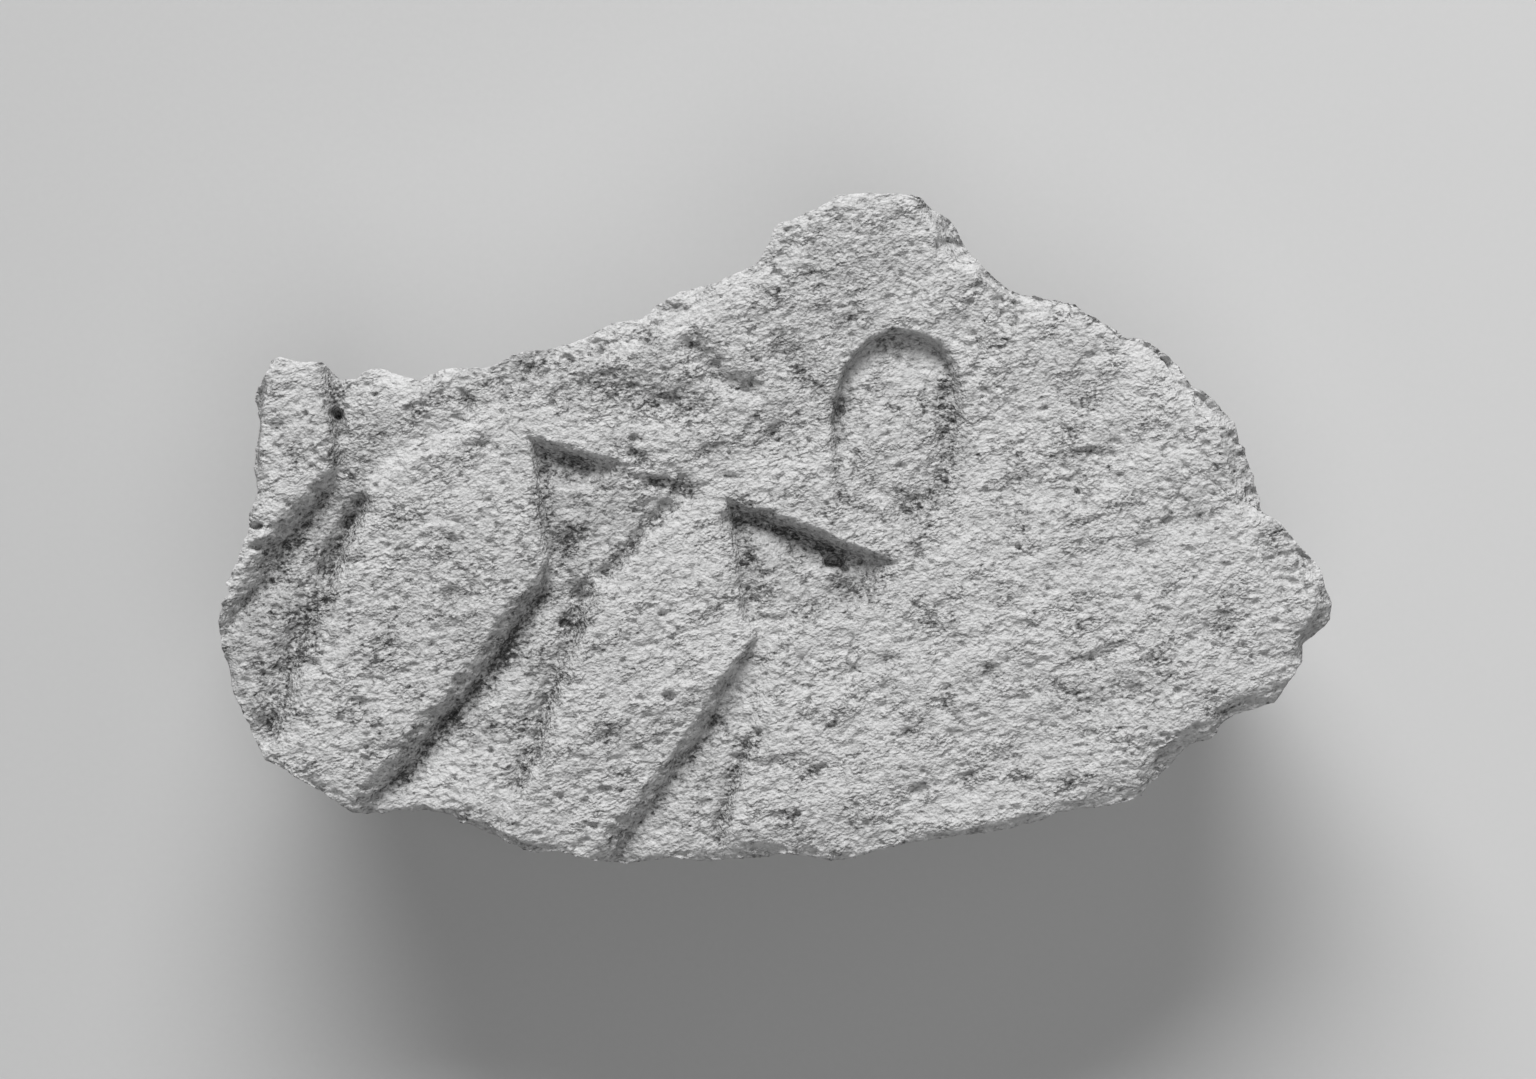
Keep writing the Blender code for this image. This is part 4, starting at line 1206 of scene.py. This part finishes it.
@dataclass
class ReliefFragment:
    """The one piece of stone: carved face, broken sides and flat back in one closed skin."""

    box: tuple[Any, Any]
    columns: int = 620
    rows: int = 330
    triangles: int = 196_000
    node: str = "relief_fragment"
    slot: str = "stone"
    squares_long: float = 111.4
    middle: Point = (55.7, 33.55)
    face_fade: float = 0.6 * MM
    face_fade_from: float = 1.8

    def __post_init__(self) -> None:
        """Reads the slab's length and thickness from the solid's box and lays the squared paper on it."""
        low, high = (np.array(corner) for corner in self.box)
        self.thickness = float(high[2] - low[2])
        self.paper = SquaredPaper(float(high[0] - low[0]), self.squares_long, self.middle)
        self.face = CarvedFace(self.paper, self.thickness)
        self.sides = BrokenSides(self.thickness, self.paper)

    def round_the_edge(self, grid: Array) -> Array:
        """Walks once clockwise round a grid's edge, from its first corner, and lists what stands there."""
        return np.concatenate([grid[0, :-1], grid[:-1, -1], grid[-1, :0:-1], grid[:0:-1, 0]])

    def skin(self) -> Shell:
        """Builds the closed skin: a grid over the face, levels down the sides and a grid over the back.

        Returns:
            The skin's points, in metres, and its faces.
        """
        left = Outline.side(Outline.LEFT, self.rows)
        top = Outline.side(Outline.TOP, self.columns)
        right = Outline.side(Outline.RIGHT, self.rows)[::-1]
        bottom = Outline.side(Outline.BOTTOM, self.columns)[::-1]
        face = coons(bottom, top, left, right)
        height = self.face.sample(face.reshape(-1, 2)).height.reshape(face.shape[:2])
        front = np.dstack([self.paper.to_metres(face), height])

        levels = self.sides.levels(self.round_the_edge(face), self.round_the_edge(height))
        base = levels[-1]
        turns = np.cumsum([self.rows, self.columns, self.rows])
        low_left, low_top, low_right, low_bottom = np.split(base, turns)
        back = coons(
            np.vstack([low_bottom, low_left[:1]])[::-1],
            np.vstack([low_top, low_right[:1]]),
            np.vstack([low_left, low_top[:1]]),
            np.vstack([low_right, low_bottom[:1]])[::-1],
        )

        front_index = np.arange(front[..., 0].size).reshape(front.shape[:2])
        level_index = front_index.size + np.arange(levels[..., 0].size).reshape(levels.shape[:2])
        back_index = np.zeros(front.shape[:2], int)
        inner = (self.columns - 1, self.rows - 1)
        first = front_index.size + level_index.size
        back_index[1:-1, 1:-1] = first + np.arange(math.prod(inner)).reshape(inner)
        back_index[0, :-1], back_index[:-1, -1], back_index[-1, :0:-1], back_index[:0:-1, 0] = np.split(
            level_index[-1], turns
        )
        points = np.vstack([front.reshape(-1, 3), levels.reshape(-1, 3), back[1:-1, 1:-1].reshape(-1, 3)])

        rings = np.vstack([self.round_the_edge(front_index), level_index])
        after = np.roll(rings, -1, axis=1)
        f, b = front_index, back_index
        faces = [
            np.stack([f[:-1, :-1], f[1:, :-1], f[1:, 1:], f[:-1, 1:]], -1),
            np.stack([rings[:-1], after[:-1], after[1:], rings[1:]], -1),
            np.stack([b[:-1, :-1], b[:-1, 1:], b[1:, 1:], b[1:, :-1]], -1),
        ]
        return Shell(points, np.vstack([part.reshape(-1, 4) for part in faces]))

    def thinned(self, piece: bpy.types.Object) -> bpy.types.Mesh:
        """Merges the flattest triangles until few enough are left, so that the rest follow the relief.

        Args:
            piece: The object with the full skin.

        Returns:
            The thinned mesh.
        """
        full = sum(len(face.vertices) - 2 for face in piece.data.polygons)
        thin = piece.modifiers.new("thin", "DECIMATE")
        thin.ratio = self.triangles / full
        thin.use_collapse_triangulate = True
        made = bpy.data.meshes.new_from_object(piece.evaluated_get(bpy.context.evaluated_depsgraph_get()))
        piece.modifiers.clear()
        return made

    def note_wear(self, mesh: bpy.types.Mesh) -> None:
        """Writes the face's rotten skin, soil and painted shade on the mesh's points, for the finish to
        read.

        They fade out below the face, so that the sides and the back have none.

        Args:
            mesh: The finished mesh.
        """
        points = np.zeros(len(mesh.vertices) * 3, np.float32)
        mesh.vertices.foreach_get("co", points)
        points = points.reshape(-1, 3).astype(float)
        places = points[:, :2] / self.paper.square + self.paper.centre
        sample = self.face.sample(places)
        on_face = smooth((points[:, 2] - sample.height) / self.face_fade + self.face_fade_from)
        for name, values in (("rot", sample.rot), ("dirt_and_shade", sample.dirt_and_shade), ("crevice_shade", sample.crevice_shade)):
            attribute = mesh.attributes.new(name, "FLOAT", "POINT")
            attribute.data.foreach_set("value", (values * on_face).astype(np.float32))

    def build(self) -> bpy.types.Object:
        """Makes the piece and puts it on the solid's body in the solid's place.

        Returns:
            The finished piece, undressed.
        """
        shell = self.skin()
        mesh = bpy.data.meshes.new("carved_stone_full")
        mesh.vertices.add(len(shell.points))
        mesh.vertices.foreach_set("co", shell.points.astype(np.float32).ravel())
        mesh.loops.add(shell.faces.size)
        mesh.loops.foreach_set("vertex_index", shell.faces.astype(np.int32).ravel())
        mesh.polygons.add(len(shell.faces))
        mesh.polygons.foreach_set("loop_start", np.arange(0, shell.faces.size, 4, dtype=np.int32))
        mesh.update(calc_edges=True)
        piece = bpy.data.objects.new("carved_stone", mesh)
        bpy.context.scene.collection.objects.link(piece)
        piece.data = self.thinned(piece)
        piece.data.name = "carved_stone"
        bpy.data.meshes.remove(mesh)
        piece.data.shade_smooth()
        self.note_wear(piece.data)
        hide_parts(self.node)
        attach(piece, "root")
        return piece

    def dress(self, piece: bpy.types.Object) -> None:
        """Gives the piece its stone finish."""
        piece.data.materials.clear()
        piece.data.materials.append(StoneFinish().build())


class Value:
    """A shader socket that sums can be written on: each operator adds the Math node that it stands for."""

    def __init__(self, sheet: "NodeSheet", socket: bpy.types.NodeSocket) -> None:
        """Wraps a socket of the sheet's."""
        self.sheet = sheet
        self.socket = socket

    def _with(self, operation: str, other: "Value | float", swapped: bool = False) -> "Value":
        """Adds a Math node on this value and another, in the other order if they are swapped."""
        first, second = (other, self) if swapped else (self, other)
        return self.sheet.node("ShaderNodeMath", {"operation": operation}, {0: first, 1: second})

    def __add__(self, other: "Value | float") -> "Value":
        """Adds."""
        return self._with("ADD", other)

    def __radd__(self, other: float) -> "Value":
        """Adds to a number."""
        return self._with("ADD", other, swapped=True)

    def __sub__(self, other: "Value | float") -> "Value":
        """Takes away."""
        return self._with("SUBTRACT", other)

    def __rsub__(self, other: float) -> "Value":
        """Takes this from a number."""
        return self._with("SUBTRACT", other, swapped=True)

    def __mul__(self, other: "Value | float") -> "Value":
        """Multiplies."""
        return self._with("MULTIPLY", other)

    def __rmul__(self, other: float) -> "Value":
        """Multiplies a number."""
        return self._with("MULTIPLY", other, swapped=True)

    def between(self, low: float, high: float) -> "Value":
        """Turns the stretch from low to high into 0 to 1, smoothly, and holds it there beyond."""
        settings = {"interpolation_type": "SMOOTHSTEP"}
        sockets = {"Value": self, "From Min": low, "From Max": high}
        return self.sheet.node("ShaderNodeMapRange", settings, sockets)


class NodeSheet:
    """A material's nodes, added one at a time."""

    def __init__(self, name: str) -> None:
        """Starts a material that has a Principled shader and nothing more.

        Args:
            name: The material's name.
        """
        self.material = bpy.data.materials.new(name)
        self.material.use_nodes = True
        self.tree = self.material.node_tree
        self.shader = self.tree.nodes["Principled BSDF"]

    def node(
        self,
        kind: str,
        settings: Mapping[str, Any] | None = None,
        sockets: Mapping[str | int, Any] | None = None,
        output: str | int = 0,
    ) -> Value:
        """Adds a node.

        Args:
            kind: The node's type.
            settings: Its settings, set first.
            sockets: What each input gets: a number, a colour or another node's value.
            output: Which output to read.

        Returns:
            The output's value.
        """
        made = self.tree.nodes.new(kind)
        for name, setting in (settings or {}).items():
            setattr(made, name, setting)
        for name, given in (sockets or {}).items():
            self.feed(made.inputs[name], given)
        return Value(self, made.outputs[output])

    def feed(self, socket: bpy.types.NodeSocket, given: Any) -> None:
        """Links a value to a socket, or sets the socket to a plain number or colour.

        Args:
            socket: The input to feed.
            given: The value, number or colour.
        """
        if isinstance(given, Value):
            self.tree.links.new(given.socket, socket)
        else:
            socket.default_value = given

    def noise(
        self,
        wavelength: float,
        detail: float,
        roughness: float,
        shift: float,
        lie: float = 0.0,
        stretch: float = 1.0,
    ) -> Value:
        """Adds noise over the piece's own coordinates, about 0.5 on average.

        Args:
            wavelength: The size of its largest lumps, in metres.
            detail: How many finer layers it has.
            roughness: How strong they are.
            shift: Moves it, so that two kinds of noise don't agree.
            lie: The way its lumps lie, in degrees.
            stretch: How much longer than wide they are.

        Returns:
            The noise.
        """
        place = {
            "Vector": self.node("ShaderNodeTexCoord", output="Object"),
            "Location": (shift, shift, shift),
            "Rotation": (0.0, 0.0, math.radians(lie)),
            "Scale": (stretch, 1.0, 1.0),
        }
        laid = self.node("ShaderNodeMapping", {"vector_type": "TEXTURE"}, place)
        sockets = {"Vector": laid, "Scale": 1.0 / wavelength, "Detail": detail, "Roughness": roughness}
        return self.node("ShaderNodeTexNoise", None, sockets)

    def attribute(self, name: str) -> Value:
        """Reads one of the values that the mesh holds at its points."""
        return self.node("ShaderNodeAttribute", {"attribute_name": name}, output="Fac")

    def mix(self, share: Value, first: Any, second: Any) -> Value:
        """Mixes two colours by a share.

        Args:
            share: How much of the second colour there is.
            first: A colour or a value.
            second: A colour or a value.

        Returns:
            The mixed colour.
        """
        sockets = {"Factor": share, "A": first, "B": second}
        made = self.tree.nodes.new("ShaderNodeMix")
        made.data_type = "RGBA"
        for socket in made.inputs:
            if socket.enabled and socket.name in sockets:
                self.feed(socket, sockets[socket.name])
        return Value(self, next(s for s in made.outputs if s.enabled))


def grey(level: float) -> tuple[float, float, float, float]:
    """Makes a neutral colour."""
    return (level, level, level, 1.0)


@dataclass(frozen=True)
class StoneFinish:
    """Pale, matt, granular stone: mottled and speckled, darker where it is rotten or dirty, and painted
    with shade in its crevices and carving.
    """

    name: str = "pale_granular_stone"
    albedo: float = 0.385
    dark: float = 0.045
    bump_height: float = 0.76 * MM

    def build(self) -> bpy.types.Material:
        """Adds the nodes, and lets the sum of the dark things mix the stone's two colours.

        Returns:
            The material.
        """
        sheet = NodeSheet(self.name)
        rot, dirt_and_shade, crevice_shade = (sheet.attribute(name) for name in ("rot", "dirt_and_shade", "crevice_shade"))
        mottle = sheet.noise(26 * MM, 3.0, 0.55, 0.3)
        blotch = sheet.noise(5.5 * MM, 3.0, 0.6, 0.7, 25.0, 1.5)
        patches = sheet.noise(3.6 * MM, 3.0, 0.65, 0.45, 25.0, 1.6).between(0.48, 0.68)
        grains = sheet.noise(0.8 * MM, 3.0, 0.7, 0.1, 8.0, 1.2)
        specks = sheet.noise(0.55 * MM, 1.0, 0.5, 0.9, 8.0, 1.3)
        crumbs = sheet.noise(1.3 * MM, 1.0, 0.5, 0.35, 20.0, 1.4)
        # Painted shade in this sum: all of the crevice term, and part of the rot and dirt terms
        darkness = (
            0.04
            + (0.5 - mottle) * 0.30
            + (0.5 - blotch) * 0.45
            + (0.5 - grains) * (1.3 + 0.5 * patches + 1.2 * rot)
            + 0.10 * patches
            + 0.34 * rot
            + 0.28 * dirt_and_shade
            + 0.22 * crevice_shade
            + (specks + 0.10 * patches + 0.15 * rot).between(0.62, 0.74) * 0.40
            + (crumbs + 0.08 * patches).between(0.66, 0.74) * 0.35
        )
        colour = sheet.mix(darkness, grey(self.albedo), grey(self.dark))
        sheet.feed(sheet.shader.inputs["Base Color"], colour)
        sheet.feed(sheet.shader.inputs["Roughness"], 0.90 + 0.08 * grains)
        sheet.shader.inputs["Specular IOR Level"].default_value = 0.25
        fine = sheet.noise(0.85 * MM, 1.6, 0.75, 0.5, 12.0, 1.15)
        height = fine * (0.75 + 0.7 * patches + 0.7 * rot)
        bump = sheet.node("ShaderNodeBump", None, {"Distance": self.bump_height, "Height": height})
        sheet.feed(sheet.shader.inputs["Normal"], bump)
        return sheet.material


@dataclass(frozen=True)
class FloorFinish:
    """Pale, matt card with a faint tooth, painted lighter towards +x as a painted light falloff."""

    name: str = "pale_card"
    albedo: float = 0.39

    def build(self) -> bpy.types.Material:
        """Adds the nodes.

        Returns:
            The material.
        """
        sheet = NodeSheet(self.name)
        tooth = sheet.noise(1.2 * MM, 2.0, 0.6, 0.0)
        cloud = sheet.noise(120 * MM, 2.0, 0.5, 0.0)
        place = sheet.node("ShaderNodeTexCoord", output="Object")
        across = sheet.node("ShaderNodeSeparateXYZ", None, {0: place})
        # Painted light: the card grows lighter along x, standing in for light that falls brighter on the
        # right
        shade = (0.5 + (tooth - 0.5) * 0.2 + (cloud - 0.5) * 0.2 + across * 2.2).between(0.0, 1.0)
        colour = sheet.mix(shade, grey(self.albedo * 0.92), grey(self.albedo * 1.08))
        sheet.feed(sheet.shader.inputs["Base Color"], colour)
        sheet.shader.inputs["Roughness"].default_value = 0.95
        sheet.shader.inputs["Specular IOR Level"].default_value = 0.2
        return sheet.material


@dataclass(frozen=True)
class Lamp:
    """A soft lamp that looks at the slab: turned from the upper edge clockwise, then raised, in degrees."""

    name: str
    turned: float
    raised: float
    distance: float
    width: float
    height: float
    power: float

    def hang(self) -> bpy.types.Object:
        """Hangs the lamp at its distance, facing the slab.

        Returns:
            The lamp's object.
        """
        data = bpy.data.lights.new(self.name, "AREA")
        data.shape = "ELLIPSE"
        data.size = self.width
        data.size_y = self.height
        data.energy = self.power
        light = bpy.data.objects.new(self.name, data)
        turn, rise = math.radians(self.turned), math.radians(self.raised)
        level = self.distance * math.cos(rise)
        light.location = (level * math.sin(turn), level * math.cos(turn), self.distance * math.sin(rise))
        light.rotation_euler = (math.radians(90.0) - rise, 0.0, math.radians(180.0) - turn)
        bpy.context.scene.collection.objects.link(light)
        return light


@dataclass(frozen=True)
class Studio:
    """The pale floor, the soft lamps, the strongest beyond the upper edge, and the camera over it all."""

    paper: SquaredPaper
    face_height: float
    floor_half: float = 2.5
    picture_squares: float = 153.1
    picture_centre: Point = (55.0, 32.45)
    lens: float = 100.0
    sensor: float = 36.0
    lamps: tuple[Lamp, ...] = (
        Lamp("soft_light", -6.5, 31.0, 3.6, 3.15, 1.55, 267.0),
        Lamp("side_light", 60.0, 40.0, 1.2, 0.60, 0.60, 0.6),
        Lamp("front_light", 160.0, 70.0, 2.0, 1.70, 1.70, 18.5),
    )
    sky: float = 0.10

    def lay_floor(self) -> bpy.types.Object:
        """Lays the floor under the slab.

        Returns:
            The floor.
        """
        half = self.floor_half
        corners = [(-half, -half, 0.0), (half, -half, 0.0), (half, half, 0.0), (-half, half, 0.0)]
        mesh = bpy.data.meshes.new("floor")
        mesh.from_pydata(corners, [], [(0, 1, 2, 3)])
        mesh.materials.append(FloorFinish().build())
        floor = bpy.data.objects.new("floor", mesh)
        bpy.context.scene.collection.objects.link(floor)
        return floor

    def light_up(self) -> None:
        """Hangs the lamps and sets the even light from all round."""
        for lamp in self.lamps:
            lamp.hang()
        world = bpy.data.worlds.new("even_light")
        world.use_nodes = True
        world.node_tree.nodes["Background"].inputs["Color"].default_value = grey(1.0)
        world.node_tree.nodes["Background"].inputs["Strength"].default_value = self.sky
        bpy.context.scene.world = world

    def set_camera(self) -> bpy.types.Object:
        """Sets the camera straight above, as high as its lens needs to see the whole picture's width.

        Returns:
            The camera.
        """
        data = bpy.data.cameras.new("camera")
        data.lens = self.lens
        data.sensor_width = self.sensor
        data.clip_start = 0.01
        width = self.picture_squares * self.paper.square
        x, y = self.paper.to_metres(np.array(self.picture_centre))
        camera = bpy.data.objects.new("camera", data)
        camera.location = (x, y, self.face_height + width * self.lens / self.sensor)
        bpy.context.scene.collection.objects.link(camera)
        bpy.context.scene.camera = camera
        return camera

    def build(self) -> None:
        """Sets up everything round the slab."""
        self.lay_floor()
        self.light_up()
        self.set_camera()
        bpy.context.scene.view_settings.view_transform = "Standard"


def main() -> None:
    """Builds the stone, then the studio round it."""
    logging.basicConfig(level=logging.INFO, format="%(name)s: %(message)s")
    fragment = ReliefFragment(CAD_BOX)
    stone = fragment.build()
    fragment.dress(stone)
    LOG.info("%s: %d triangles", stone.name, len(stone.data.polygons))
    Studio(fragment.paper, fragment.thickness).build()


if __name__ == "__main__":
    main()
